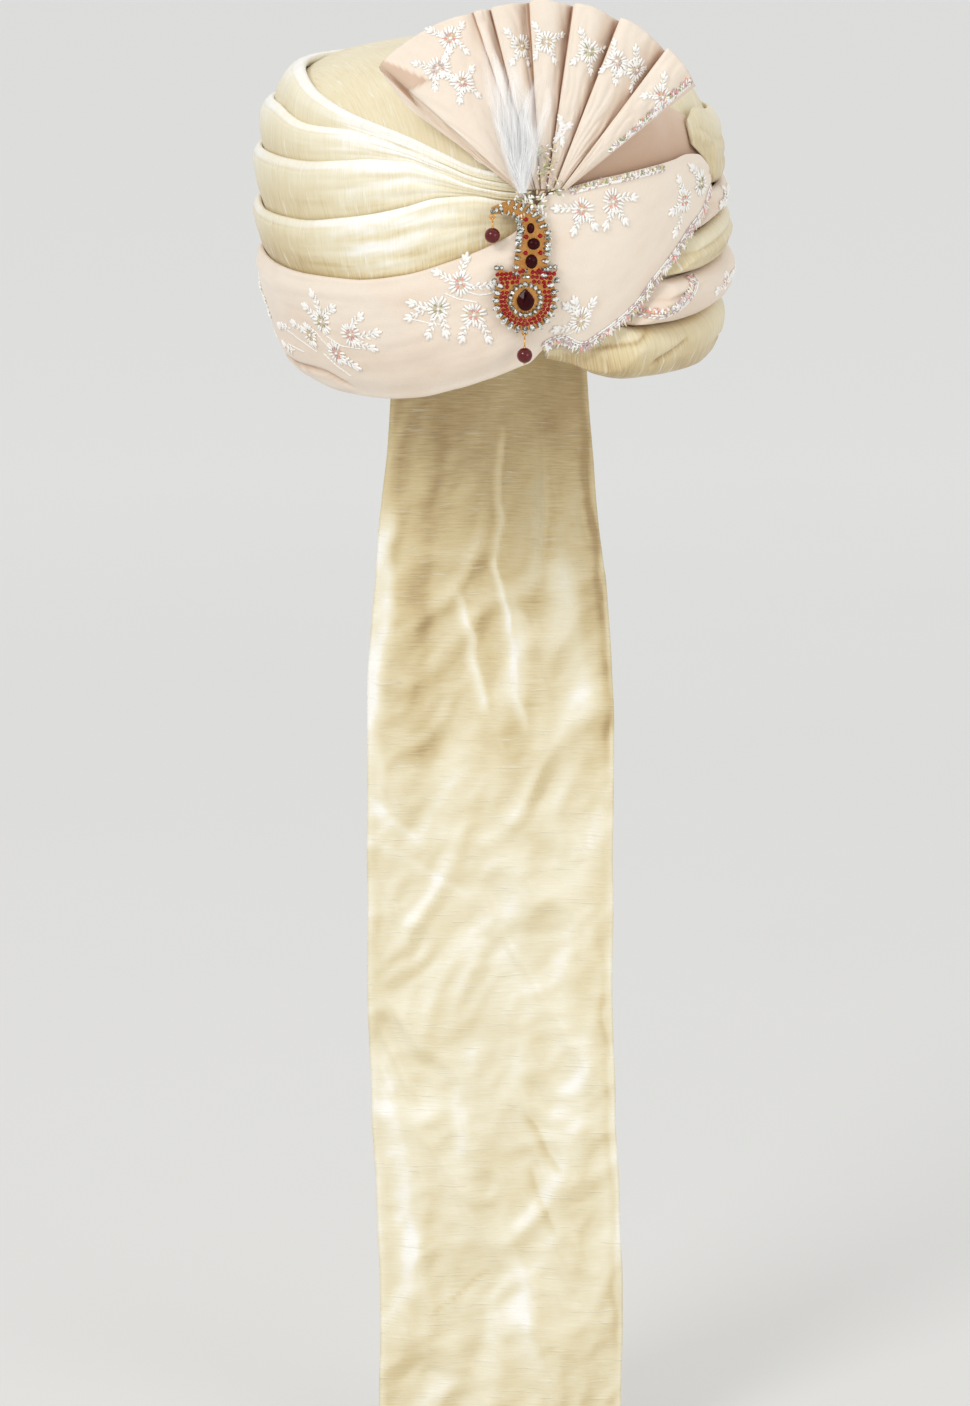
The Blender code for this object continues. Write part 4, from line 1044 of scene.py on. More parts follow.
def makePlume(settings):
    drawn = random.Random(7)
    foot = lifted(settings["azimuth"], settings["share"], settings["lift"])
    bm = bmesh.new()
    toneLayer = bm.verts.layers.float.new("tone")
    uvLayer = bm.loops.layers.uv.new("weave")

    def vane(angle, share, width, ahead, seed, columns):
        made = bmesh.ops.create_grid(bm, x_segments=columns, y_segments=settings["steps"], size=0.5)["verts"]
        length = settings["length"] * share
        toX, toZ = heading(radians(angle), length)
        flat = {}
        for vert in made:
            t, side = vert.co.y + 0.5, vert.co.x * 2
            belly = width * sin(pi * min(1.0, 0.06 + t * 0.90)) ** 0.8
            bend = 0.04 * length * sin(pi * t * 0.9) * (1 if seed % 2 else -1)
            aside = bend + 0.0012 * sin(t * 8 + seed) + side / 2 * belly
            vert.co = foot + Vector((toX * t + aside, -ahead * length * t - (1 - side * side) * 0.18 * belly,
                                     toZ * t))
            vert[toneLayer] = (1 - abs(side) ** 2.2) * smooth((1.01 - t) / 0.22) if columns > 1 else 0.8
            vert[toneLayer] *= 0.5 if width > settings["wispy"] else 1.0
            flat[vert] = (side * 0.5 + seed * 1.7, t + seed * 3.1 if columns == 1 else t)
        for face in {f for vert in made for f in vert.link_faces}:
            for loop in face.loops:
                loop[uvLayer].uv = flat[loop.vert]

    for seed, (angle, share, width, ahead) in enumerate(settings["vanes"]):
        vane(angle, share, width, ahead, seed, 8)
    for k in range(settings["barbs"]):
        angle, share, _, ahead = settings["vanes"][k % len(settings["vanes"])]
        vane(angle + drawn.gauss(0, 3.0), share * drawn.uniform(0.45, 0.98), settings["barbWidth"],
             ahead + drawn.uniform(-0.03, 0.05), k, 1)
    piece = finished("featherPlume", bm, feather, "white_feather")
    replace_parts(piece, "feather_plume")


makePlume(plumeSettings)
print("turban: plume set")


# tail

tailSettings = {
    "cloth": 0.0018, "length": 0.640, "topWidth": 0.062, "rimWidth": 0.106, "width": 0.140,
    "topShare": 0.86, "rimShare": 0.02, "ripple": 0.0035, "flare": 0.230, "endLift": 0.0010,
    "rimRelief": 0.35,
    "columns": 84, "crownRows": 70, "hangRows": 250, "thickness": 0.0007, "flat": (0.14, 0.87),
    "toneDown": (-0.2, 0.0, 0.05, 0.10, 0.17, 0.25, 0.31, 0.40, 0.64),
    "paintedShadeLevels": (0.42, 0.08, 0.10, 0.22, 0.33, 0.42, 0.54, 0.60, 0.53),
}


def tailOnCrown(share, across, lift):
    at = skinPoint(180, share)
    turn = degrees(across / max(crownShape["halfWidth"] * abs(at.y) / crownShape["halfDepth"], 0.02))
    return lifted(180 - turn, share, lift)


# painted light: each streak paints a satin sheen or a crease's shade into the tail's colour
tailStreaks = (  # (across, down) at both ends, half width, tone: satin above 0, a crease's shade below
    ((0.12, 0.062), (0.07, 0.132), 0.05, 0.26),
    ((0.07, 0.132), (0.16, 0.175), 0.04, 0.46),
    ((0.16, 0.175), (0.27, 0.229), 0.05, 0.27),
    ((-0.9, 0.111), (-0.92, 0.219), 0.13, 0.57),
    ((-0.96, 0.197), (-0.9, 0.283), 0.1, 0.27),
    ((-0.26, 0.154), (-0.02, 0.219), 0.06, 0.46),
    ((0.2, 0.154), (0.24, 0.219), 0.14, 0.32),
    ((0.62, 0.132), (0.8, 0.219), 0.2, 0.35),
    ((0.7, 0.208), (0.74, 0.359), 0.24, 0.22),
    ((0.16, 0.251), (0.1, 0.391), 0.45, 0.19),
    ((-1.0, 0.267), (-0.62, 0.294), 0.10, 0.22),
    ((-0.64, 0.299), (-0.18, 0.251), 0.09, 0.20),
    ((-0.92, 0.294), (-0.2, 0.326), 0.12, 0.18),
    ((0.29, 0.456), (0.52, 0.488), 0.055, -0.28),
    ((0.29, 0.487), (0.44, 0.523), 0.055, -0.24),
    ((-0.9, 0.423), (-0.62, 0.564), 0.13, 0.24),
    ((0.76, 0.402), (0.62, 0.488), 0.16, 0.22),
    ((-0.1, 0.402), (-0.3, 0.488), 0.14, 0.19),
    ((0.1, 0.531), (0.3, 0.607), 0.12, 0.19),
    ((-0.6, 0.574), (-0.1, 0.547), 0.05, -0.19),
    ((-0.45, 0.057), (-0.62, 0.165), 0.16, -0.12),
    ((-0.55, 0.143), (-0.5, 0.251), 0.2, -0.19),
    ((0.93, 0.057), (0.97, 0.251), 0.05, -0.26),
    ((0.93, 0.359), (0.96, 0.596), 0.04, -0.17),
)


def tailStreak(w, down):
    total = 0.0
    for start, end, width, tone in tailStreaks:
        fall = (down - start[1]) / (end[1] - start[1]) if abs(end[1] - start[1]) > 0.012 else 0.5
        if -0.6 < fall < 1.6:
            line = mix(start[0], end[0], fall) + 0.05 * wave(down * 40, start[0] * 9, 0, 76, 2)
            aside = (w - line) / (width * (1 if w < line else 0.45))
            total += tone * exp(-aside * aside) * smooth((fall + 0.12) / 0.24) * smooth((1.12 - fall) / 0.24)
    return total


def makeTail(settings):
    seat = layers["backLip"] + 2 * layers["gap"]
    total = settings["crownRows"] + settings["hangRows"]
    half = settings["width"] / 2

    @lru_cache(maxsize=None)
    def rimPoint(w):
        return tailOnCrown(settings["rimShare"], settings["rimWidth"] / 2 * w, seat)

    flatY = max(rimPoint(w).y for w in (-1, -0.5, 0, 0.5, 1)) - 0.004

    @lru_cache(maxsize=None)
    def crumple(w, down):  # soft facets with sharp valleys between them, like crushed silk
        x, y = w * half, down
        warp = wave(x * 14, y * 9, 0, 71, 2) * 0.6
        facets = crease(x * 20 + y * 6 + warp, y * 13 + warp, 1) * 0.0026
        facets += crease(x * 34 - warp, y * 30 + warp, 2) * 0.0013
        folds = wave(x * 26 + y * 5, y * 5, 3, 72, 2) * 0.0020
        fine = crease(x * 70 + y * 12, y * 64, 3) * 0.0006
        return facets + folds + fine

    # painted highlight and shade from how the crushed facets face the light at the upper left
    def shine(w, down):  # how far the crushed silk turns its face to the upper left
        a, b = 0.05, 0.0035
        across = (crumple(w + a, down) - crumple(w - a, down)) / (2 * a * half)
        fall = (crumple(w, down + b) - crumple(w, down - b)) / (2 * b)
        turned = (-0.42 * across - 0.54 * fall) * (0.75 + 0.6 * smooth((down - 0.16) / 0.12))
        return limit(turned, -0.17, 0.28)

    def place(u, v):
        w = u * 2 - 1
        step = v * total
        if step <= settings["crownRows"]:
            fall = step / settings["crownRows"]
            share = mix(settings["topShare"], settings["rimShare"], fall)
            width = mix(settings["rimWidth"], settings["topWidth"], smooth(share / settings["topShare"]))
            lift = mix(seat, layers["gap"] + settings["endLift"], smooth((share - 0.725) / 0.06))
            at = tailOnCrown(share, width / 2 * w, lift)
            outward = (tailOnCrown(share, width / 2 * w, lift + 0.001) - at).normalized()
            down = (1 - share) * 0.2 - 0.2
            amount = settings["rimRelief"] * smooth(fall / 0.2)
        else:
            drop = settings["length"] * (step - settings["crownRows"]) / settings["hangRows"]
            flare = smooth(drop / settings["flare"])
            start = rimPoint(w)
            sway = sin(5.2 * w + 9.0 * drop / settings["length"]) * (1 - 0.35 * flare)
            aside = 0.0065 * smooth((drop - 0.36) / 0.24)
            sway *= settings["ripple"] * smooth(drop / 0.10)
            at = Vector((mix(start.x, half * w, flare) + aside,
                         mix(start.y, flatY, smooth(drop / 0.16)) + sway, start.z - drop))
            outward = Vector((start.x * 2.0 * (1 - flare), 1, 0)).normalized()
            down = drop
            amount = mix(settings["rimRelief"], 1.0, smooth(drop / 0.12))
            at.x += 0.0012 * wave(down * 14, 0, 0, 73, 2) * abs(w)
        hem = settings["cloth"] * (0.5 + 0.5 * smooth((abs(w) - 0.93) / 0.05))
        lift = hem + (crumple(w, down) - 0.0012) * amount * (1 - 0.6 * smooth((abs(w) - 0.9) / 0.1))
        # painted shade: the turban's shadow darkens the top of the tail; the facets' shine, the satin
        # streaks and a lighter rolled hem at each side are painted in too
        tone = curveAt(settings["toneDown"], settings["paintedShadeLevels"], down)
        tone += 0.10 * wave(w * 1.6, down * 8, 0, 74, 2)
        tone += shine(round(w, 4), round(down, 5)) * amount ** 2 + tailStreak(w, down)
        tone = limit(tone + 0.12 * smooth((abs(w) - 0.94) / 0.03), 0.02)
        return at + outward * lift, (w * half, down), tone

    bm = clothGrid(settings["columns"], total, place)
    for face in bm.faces[:1]:
        if face.normal.y < 0:
            bmesh.ops.reverse_faces(bm, faces=bm.faces)
    piece = finished("hangingTail", bm, silkTail, "ivory_silk", thickness=settings["thickness"])
    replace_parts(piece, "tail")


makeTail(tailSettings)
print("turban: tail hung")


# embroidery

def bandSpot(azimuth, share):
    low, high = bandLower(azimuth), bandUpper(azimuth)
    t = limit((share - low) / max(1e-6, high - low))
    return lifted(azimuth, share, bandOuter(azimuth, t) + bandRelief(azimuth, t))


def rollSpot(name):
    def spot(azimuth, share):
        low, high = edgeAt(name, "lower", azimuth), edgeAt(name, "upper", azimuth)
        t = limit((share - low) / max(1e-6, high - low), 0.02, 0.98)
        lift, seat, _ = rollLift(name, azimuth, t)
        return lifted(azimuth, mix(low, high, t), min(lift, mostLift(azimuth, share, seat)))

    return spot


class Needle:  # stitches on a surface; spot(a, b) is its point, the steps are what a and b gain over a metre
    def __init__(self, spot, stepA, stepB, drawn):
        self.pile = Pile()
        self.spot = spot
        self.stepA = stepA
        self.stepB = stepB
        self.drawn = drawn

    def at(self, a, b, x, y):  # the surface's frame at x, y metres from its place a, b
        a, b = a + x * self.stepA, b + y * self.stepB
        here = self.spot(a, b)
        right = (self.spot(a + 0.001 * self.stepA, b) - here).normalized()
        up = (self.spot(a, b + 0.001 * self.stepB) - here).normalized()
        out = right.cross(up).normalized()
        turned = Matrix((right, out.cross(right), out)).transposed().to_4x4()
        return Matrix.Translation(here) @ turned

    def apart(self, start, end):  # metres from one place to another
        return (end[0] - start[0]) / self.stepA, (end[1] - start[1]) / self.stepB

    def stitch(self, a, b, x, y, angle, length, width, thread="white", height=0.0):
        shape = (Matrix.Translation((0, 0, height + width * 0.15)) @ Matrix.Rotation(angle, 4, "Z")
                 @ Matrix.Diagonal((length, width, width * 0.8, 1)) @ Matrix.Rotation(pi / 2, 4, "Y"))
        made = addBall(self.pile.next(), 0.5, 6, 4, self.at(a, b, x, y) @ shape)
        for face in {f for v in made for f in v.link_faces}:
            face.material_index = threadNames.index(thread)

    def leaf(self, a, b, x, y, angle, length, width, thread="white", height=0.0002):  # it starts at x, y
        dx, dy = heading(angle, length * 0.5)
        self.stitch(a, b, x + dx, y + dy, angle, length, width, thread, height)

    def blossom(self, a, b, size, accent):
        turn = self.drawn.uniform(0, 1)
        for k in range(8):
            angle = 2 * pi * (k + turn) / 8 + self.drawn.uniform(-0.12, 0.12)
            reach = size * self.drawn.uniform(0.85, 1.12)
            for side in (-0.17, 0.17):
                x, y = heading(angle + side, reach * 0.68)
                self.stitch(a, b, x, y, angle + side * 0.6, reach * 0.62, 0.0015, "white", 0.0002)
            x, y = heading(angle + 0.38, reach * 0.40)
            shade = accent if k % 2 == 0 else self.drawn.choice(("gold", "lilac", "white"))
            self.stitch(a, b, x, y, angle + 0.38, reach * 0.46, 0.0011, shade, 0.0001)
        self.stitch(a, b, 0, 0, 0, 0.0020, 0.0016, "white", 0.0004)

    def stem(self, a, b, points, width):
        for (x0, y0), (x1, y1) in zip(points, points[1:]):
            length = hypot(x1 - x0, y1 - y0)
            self.stitch(a, b, (x0 + x1) / 2, (y0 + y1) / 2, atan2(y1 - y0, x1 - x0), length * 1.3, width)

    def spray(self, start, end, size=0.0058):  # a stem with a bud at its end and small leaves
        dx, dy = self.apart(start, end)
        angle = atan2(dy, dx)
        bend = hypot(dx, dy) * self.drawn.uniform(-0.12, 0.12)
        points = []
        for t in spread(0.25, 0.90, 6):
            bow = bend * sin(pi * t)
            points.append((dx * t - sin(angle) * bow, dy * t + cos(angle) * bow))
        self.stem(*start, points, 0.0011)
        for lean, share in ((0.0, 1.0), (0.55, 0.72), (-0.55, 0.72)):
            self.leaf(*start, *points[-1], angle + lean, size * share, size * 0.36)
        for k, point in enumerate(points[1:6]):
            reach = size * self.drawn.uniform(0.50, 0.70)
            self.leaf(*start, *point, angle + (0.75 if k % 2 else -0.75), reach, reach * 0.40)

    def line(self, places):
        for here, there in zip(places, places[1:]):
            dx, dy = self.apart(here, there)
            steps = max(1, round(hypot(dx, dy) / 0.0022))
            self.stem(*here, [(dx * t, dy * t) for t in spread(0, 1, steps)], 0.0009)

    def lace(self, points, width, shades):  # a twisted cord with loops and picots on its outer side
        drawn = self.drawn
        for k, (a, b) in enumerate(points[:-1]):
            dx, dy = self.apart((a, b), points[k + 1])
            angle = atan2(dy, dx)
            out = angle - pi / 2

            def beside(away):
                x, y = heading(out, away)
                return dx / 2 + x, dy / 2 + y

            for shift, turn in ((0.0, 0.5), (0.16, -0.3)):
                self.stitch(a, b, *beside(width * shift), angle + turn * drawn.uniform(0.5, 1.4),
                            hypot(dx, dy) * 1.6, 0.0010, drawn.choice(("white", "white", "lilac")), 0.0004)
            scallop = 0.55 + 0.45 * abs(sin(pi * k / 5.5))
            for lean in (-0.7, -0.1, 0.5):
                reach = width * scallop * drawn.uniform(0.7, 1.1)
                side = out + lean + drawn.uniform(-0.25, 0.25)
                self.leaf(a, b, *beside(width * drawn.uniform(0.1, 0.3)), side, reach * 0.8, 0.0011,
                          "white" if drawn.random() < 0.50 else drawn.choice(shades),
                          drawn.uniform(0.0001, 0.0005))
            if drawn.random() < 0.18:
                self.stitch(a, b, *heading(out, width * 0.4), drawn.uniform(0, 3), 0.0030, 0.0014,
                            drawn.choice(shades), 0.0006)

    def tuft(self, count, place, lengths, width, shades):  # loose stitches in all directions
        drawn = self.drawn
        for _ in range(count):
            self.stitch(*place(), 0, 0, drawn.uniform(0, pi), drawn.uniform(*lengths), width,
                        drawn.choice(shades), drawn.uniform(0, 0.0012))

    def motifs(self, work, size, shift=0, lift=0.0):  # a work moved round and up, as far as the back seam
        for a, b, accent in work["flowers"]:
            self.blossom(a + shift, b + lift, size, accent)
        for start, *ends in work["sprays"]:
            for end in ends:
                if end[0] + shift > seamAzimuth + 1:
                    self.spray((start[0] + shift, start[1] + lift), (end[0] + shift, end[1] + lift))
        for places in work["lines"]:
            self.line([(a + shift, b + lift) for a, b in places if a + shift > seamAzimuth + 1])

    def done(self, name):
        return finished(name, self.pile.all(), threadFinishes, "pink_cloth")


leftWork = {
    "flowers": ((-46.3, 0.138, "green"), (-52.4, 0.100, "gold"), (-37.0, 0.115, "pink"),
                (-43.7, 0.064, "pink")),
    "sprays": (((-46.3, 0.138), (-48.1, 0.198), (-51.6, 0.168)), ((-52.4, 0.100), (-59.0, 0.122)),
               ((-37.0, 0.115), (-29.0, 0.128), (-31.0, 0.090)), ((-43.7, 0.064), (-38.0, 0.038)),
               ((-37.0, 0.115), (-33.2, 0.156)), ((-46.3, 0.138), (-42.0, 0.170)),
               ((-60.0, 0.100), (-71.5, 0.099)), ((-62.0, 0.060), (-72.4, 0.061))),
    "lines": (((-68.0, 0.102), (-62.1, 0.090), (-52.4, 0.058)), ((-68.0, 0.062), (-59.2, 0.051)),
              ((-49.4, 0.057), (-45.8, 0.031), (-41.8, 0.006)),
              ((-53.3, 0.125), (-49.7, 0.109), (-45.8, 0.078)),
              ((-45.7, 0.104), (-41.0, 0.084), (-34.8, 0.082))),
}
bandWork = {
    "flowers": ((-6.9, 0.251, "pink"), (-12.4, 0.188, "green"), (-3.9, 0.175, "pink"), (21.4, 0.421, "pink"),
                (29.6, 0.435, "pink"), (52.5, 0.423, "pink"), (60.0, 0.458, "green"), (22.4, 0.155, "gold")),
    "sprays": (((-12.4, 0.188), (-18.6, 0.200), (-19.6, 0.163), (-15.1, 0.128)),
               ((-3.9, 0.175), (-6.6, 0.121), (-0.7, 0.119)),
               ((-6.9, 0.251), (-12.3, 0.272), (-5.6, 0.304), (0.5, 0.251)),
               ((-12.4, 0.188), (-11.0, 0.134)),
               ((29.6, 0.435), (27.6, 0.384), (32.7, 0.391), (35.2, 0.440)),
               ((21.4, 0.421), (19.6, 0.374), (15.6, 0.424), (24.4, 0.382)),
               ((52.5, 0.423), (48.0, 0.402), (50.6, 0.468)), ((60.0, 0.458), (56.2, 0.492)),
               ((53.0, 0.410), (49.2, 0.350)),
               ((22.4, 0.155), (18.6, 0.188), (24.9, 0.196), (16.4, 0.138), (20.6, 0.200))),
    "lines": (((-10.6, 0.225), (-7.2, 0.212), (-3.0, 0.204)), ((-5.1, 0.230), (-2.6, 0.221), (0.5, 0.226)),
              ((-19.3, 0.162), (-14.9, 0.153), (-10.9, 0.150)),
              ((13.5, 0.098), (17.5, 0.114), (21.4, 0.132))),
}
rollWorks = {
    "embroidered_roll_upper": {
        "flowers": ((64.6, 0.412, "pink"), (80, 0.410, "green"), (98, 0.430, "pink"), (126, 0.485, "green"),
                    (152, 0.53, "pink")),
        "sprays": (((64.6, 0.412), (60.4, 0.376)), ((80, 0.410), (73, 0.396), (87, 0.422)),
                   ((98, 0.43), (106, 0.44)), ((126, 0.485), (118, 0.47), (134, 0.51)),
                   ((152, 0.53), (144, 0.51))),
        "lines": (),
        "laces": (),
    },
    "embroidered_roll_lower": {
        "flowers": ((74, 0.212, "pink"), (96, 0.236, "green"), (122, 0.268, "pink"), (150, 0.286, "green")),
        "sprays": (((74, 0.212), (67, 0.200), (81, 0.222)), ((96, 0.236), (89, 0.226), (104, 0.25)),
                   ((122, 0.268), (114, 0.256), (130, 0.282)), ((150, 0.286), (142, 0.276))),
        "lines": (),
        "laces": (((60.0, 0.240), (57.0, 0.215), (53.5, 0.190), (50.2, 0.171), (46.0, 0.158), (40.9, 0.152),
                   (34.0, 0.154), (29.0, 0.150)),),
    },
}
fanFlowers = ((1.80, 0.90, "pink"), (1.73, 0.66, "pink"), (1.66, 0.79, "lilac"), (3.80, 0.77, "gold"),
              (4.66, 0.78, "gold"), (5.74, 0.77, "green"), (6.60, 0.77, "lilac"), (6.84, 0.80, "lilac"),
              (7.80, 0.78, "pink"), (5.61, 0.32, "pink"))
rollSteps = (degrees(1 / outerRadius), 1 / crownShape["climb"])  # degrees and shares to a metre


def embroiderBand():
    needle = Needle(bandSpot, degrees(1 / (crownShape["halfWidth"] + 0.012)), 1 / crownShape["climb"],
                    random.Random(21))
    for shift, lift in ((0, 0.0), (-52, 0.026), (-104, 0.034)):  # the same spray goes on round the back
        needle.motifs(leftWork, 0.0072, shift, lift)
    needle.motifs(bandWork, 0.0072)
    needle.lace([(azimuth, bandLower(azimuth) + 0.016) for azimuth in spread(13, 65.5, 92)], 0.0072,
                ("lilac", "lilac", "lilac", "pink", "green", "gold"))
    needle.lace([(azimuth, bandUpper(azimuth) - 0.010) for azimuth in spread(46, 19, 44)], 0.0038,
                ("gold", "gold", "green", "lilac"))
    needle.done("bandEmbroidery")


def embroiderRolls():
    drawn = random.Random(22)
    for name, work in rollWorks.items():
        needle = Needle(rollSpot(name), *rollSteps, drawn)
        needle.motifs(work, 0.0062)
        for places in work["laces"]:
            line = [tuple(mix(p, q, k / 8) for p, q in zip(*pair))
                    for pair in zip(places, places[1:]) for k in range(8)]
            needle.lace(line, 0.0060, ("lilac", "lilac", "pink", "gold"))
        needle.done("embroidery" + name.title().replace("_", ""))


def embroiderFan():
    drawn = random.Random(23)
    folds = fanSettings["across"]

    def spot(a, b):  # a runs over the pleats, b from foot to tip
        pleat = limit(int(a), 0, len(folds) - 2)
        return fanPoint(pleat, limit(a - pleat, 0.36, 0.95), b)

    def stepOver(width):  # pleats to a metre where a pleat is this share of the fan
        return 0.6 / (width * 0.195)

    def knotSpot(x, y):  # on the front of the fan's foot
        return fanPlace @ Vector((x, -0.0050 - 0.27 * max(0, 0.012 - abs(x)), y))

    def knotPlace():
        x, y = drawn.uniform(-0.003, 0.0075), drawn.uniform(-0.004, 0.022)
        return x + (0.004 if y < 0.004 else 0.0), y

    def lowPlace():
        return drawn.uniform(5.5, 12.5), drawn.uniform(0.405, 0.462)

    needle = Needle(spot, 1 / 0.040, 1 / fanSettings["radius"], drawn)
    for a, b, accent in fanFlowers:
        needle.stepA = stepOver(folds[int(a) + 1] - folds[int(a)])
        size, reach = (0.0068, 0.0098) if b > 0.4 else (0.0038, 0.006)
        needle.blossom(a, b, size, accent)
        for angle in (0.5, 2.2, -1.1, -2.3):
            x, y = heading(angle, reach)
            needle.spray((a, b), (a + x * needle.stepA, b + y * needle.stepB), 0.0046)
    needle.stepA = stepOver(folds[-1] - folds[-2])
    needle.lace([(7.93, b) for b in spread(0.99, 0.34, 40)], 0.0050, ("lilac", "lilac", "pink", "green"))
    knot = Needle(knotSpot, 1, 1, drawn)
    knot.tuft(90, knotPlace, (0.0016, 0.0030), 0.0010, ("gold", "gold", "green", "white", "lilac"))
    low = Needle(lambda a, b: lifted(a, b, 0.0098), *rollSteps, drawn)
    low.tuft(110, lowPlace, (0.0018, 0.0034), 0.0011, ("white", "white", "lilac", "gold", "green"))
    low.done("plumeKnot")
    knot.done("fanKnot")
    needle.done("fanEmbroidery")


embroiderBand()
embroiderRolls()
embroiderFan()
print("turban: embroidery stitched")


# brooch

broochSettings = {
    "azimuth": 8.0, "share": 0.205, "tilt": 4.0, "clearance": 0.00212, "plate": 0.0016, "radius": 0.0162,
    "stoneGap": 0.0003, "eye": 0.0013, "wire": 0.00035, "bead": 0.0040,
    "sideDrop": 0.0096, "bottomDrop": 0.0116,
    "stemAcross": (0.13, 0.20, 0.24, 0.17, -0.12, -0.58, -1.10),
    "stemUp": (0.72, 1.50, 1.95, 2.38, 2.76, 2.93, 2.83),
    "stemHalf": (0.52, 0.53, 0.52, 0.44, 0.30, 0.21, 0.11),
    "cabochons": ((0.14, 2.28, 0.120, 0.165), (0.24, 1.78, 0.200, 0.185), (0.18, 1.22, 0.190, 0.225)),
    "redStones": ((-0.02, 2.57), (0.00, 2.01), (0.44, 2.04), (-0.02, 1.50), (0.46, 1.50), (-0.10, 0.93),
                  (0.42, 0.93)),
    "wings": ((6, 0.22, 0.90), (5, 0.22, 0.80), (4, 0.26, 0.76), (2, 0.60, 0.76)),
    "wingStones": ((0.94, 1.04, 0.00135), (0.78, 1.04, 0.00115), (1.00, 0.62, 0.00150),
                   (0.07, 0.74, 0.00110)),
}


def broochFrame():
    s = broochSettings
    normal = skinNormal(s["azimuth"], s["share"])
    yaw = atan2(normal.x, -normal.y)
    away = layers["standoff"] + 1.25 * layers["bandCloth"] + s["clearance"]
    out = Vector((sin(yaw), -cos(yaw), 0))
    return (Matrix.Translation(lifted(s["azimuth"], s["share"], 0) + out * away)
            @ Matrix.Rotation(yaw, 4, "Z") @ Matrix.Rotation(radians(90 + s["tilt"]), 4, "X"))


broochPlace = broochFrame()
broochFinishes = {  # name, finish and slot of each part that replaces the brooch
    "gold": ("broochGold", gilt, "gold_metal"),
    "plate": ("broochPlate", shadedGiltPlate, "gold_metal"),
    "dark": ("broochSettings", darkMetal, None),
    "clear": ("broochClearStones", foilStone, None),
    "red": ("broochRedStones", redStone, "red_bead"),
}


def stemAt(v):
    s = broochSettings
    return [s["radius"] * splineAt(s[row], v) for row in ("stemAcross", "stemUp", "stemHalf")]


def stemSide(v, side):
    x, y, half = stemAt(v)
    x2, y2, _ = stemAt(min(1.0, v + 0.01))
    x1, y1, _ = stemAt(max(0.0, v - 0.01))
    along = Vector((x2 - x1, y2 - y1)).normalized()
    return Vector((x, y)) + Vector((along.y, -along.x)) * half * side


def stemInward(v, side, depth):  # a point so far in from the stem's edge, and the way there
    edge = stemSide(v, side)
    inward = (Vector(stemAt(v)[:2]) - edge).normalized() * depth
    return edge, inward


def plateOutline():
    r = broochSettings["radius"]
    points = [stemSide(v, 1) for v in spread(0, 1, 24)] + [stemSide(v, -1) for v in spread(1, 0, 24)]
    points.append(Vector((-0.88 * r, 1.02 * r)))
    for turn, ripple in zip(spread(146, 394, 60), spread(0, 180 * 13, 60)):
        scallop = 1 + 0.035 * abs(sin(radians(ripple)))
        points.append(Vector(heading(radians(turn), r * scallop * 0.98)))
    points.append(Vector((1.02 * r, 0.94 * r)))
    return points


class Jeweller:  # stones and settings laid on the brooch's plane
    def __init__(self):
        self.piles = {name: Pile() for name in broochFinishes}
        self.drawn = random.Random(31)

    def place(self, x, y, rise):
        return Matrix.Translation((x, y, broochSettings["plate"] + rise))

    def stone(self, pile, x, y, radius, rise, stretch, lean):
        tilt = Matrix.Rotation(self.drawn.uniform(-0.16, 0.16), 4, "X")
        tilt = tilt @ Matrix.Rotation(self.drawn.uniform(-0.16, 0.16), 4, "Y")
        spin = Matrix.Rotation(self.drawn.uniform(0, pi), 4, "Z")
        shape = Matrix.Rotation(lean, 4, "Z") @ Matrix.Diagonal((stretch, 1 / stretch, 1, 1))
        place = self.place(x, y, rise + radius * 0.75) @ tilt @ shape @ spin
        addCone(self.piles[pile].next(), radius, radius * 0.55, radius * 0.62, 8, place)

    def cup(self, x, y, radius, rise=0.0, pile="gold"):
        metal = self.piles[pile].next()
        foot = self.place(x, y, rise + radius * 0.15)
        addCone(metal, radius * 0.90, radius * 1.04, radius * 0.6, 10, foot)
        for k in range(4):
            dx, dy = heading(pi / 4 + k * pi / 2, radius)
            addBall(metal, radius * 0.17, 5, 4, self.place(x + dx, y + dy, rise + radius * 0.7))

    def set(self, pile, x, y, radius, rise=0.0, stretch=1.0, lean=0.0):
        self.cup(x, y, radius / stretch, rise, "dark" if pile == "clear" else "gold")
        self.stone(pile, x, y, radius, rise, stretch, lean)

    def grain(self, x, y, radius):
        addBall(self.piles["gold"].next(), radius, 8, 5, self.place(x, y, radius * 0.3))

    def arc(self, pile, start, end, count, ring, size, rise, stretch=1.0):
        for degree in spread(start, end, count - 1):
            turn = radians(degree)
            self.set(pile, *heading(turn, ring), size, rise, stretch, turn)


def wireRing(pile, centre, axis, radius, wire):
    bm = bmesh.new()
    circle = bmesh.ops.create_circle(bm, segments=8, radius=wire)["verts"]
    bmesh.ops.rotate(bm, verts=circle, cent=(0, 0, 0), matrix=Matrix.Rotation(pi / 2, 3, "X"))
    bmesh.ops.translate(bm, verts=circle, vec=(radius, 0, 0))
    edges = list({e for v in circle for e in v.link_edges})
    bmesh.ops.spin(bm, geom=circle + edges, cent=(0, 0, 0), axis=(0, 0, 1), angle=2 * pi, steps=24,
                   use_merge=True)
    bmesh.ops.recalc_face_normals(bm, faces=bm.faces)
    turn = Vector((0, 0, 1)).rotation_difference(Vector(axis)).to_matrix().to_4x4()
    bmesh.ops.transform(bm, matrix=Matrix.Translation(centre) @ turn, verts=bm.verts)
    pile.add(bm)


def ringPlaces():
    s = broochSettings
    tip = stemSide(1.0, -1)
    outward = s["eye"] - 0.6 * s["wire"]
    return [Vector((x, y - outward, s["plate"] / 2)) for x, y in (tip, (0, -s["radius"]))]


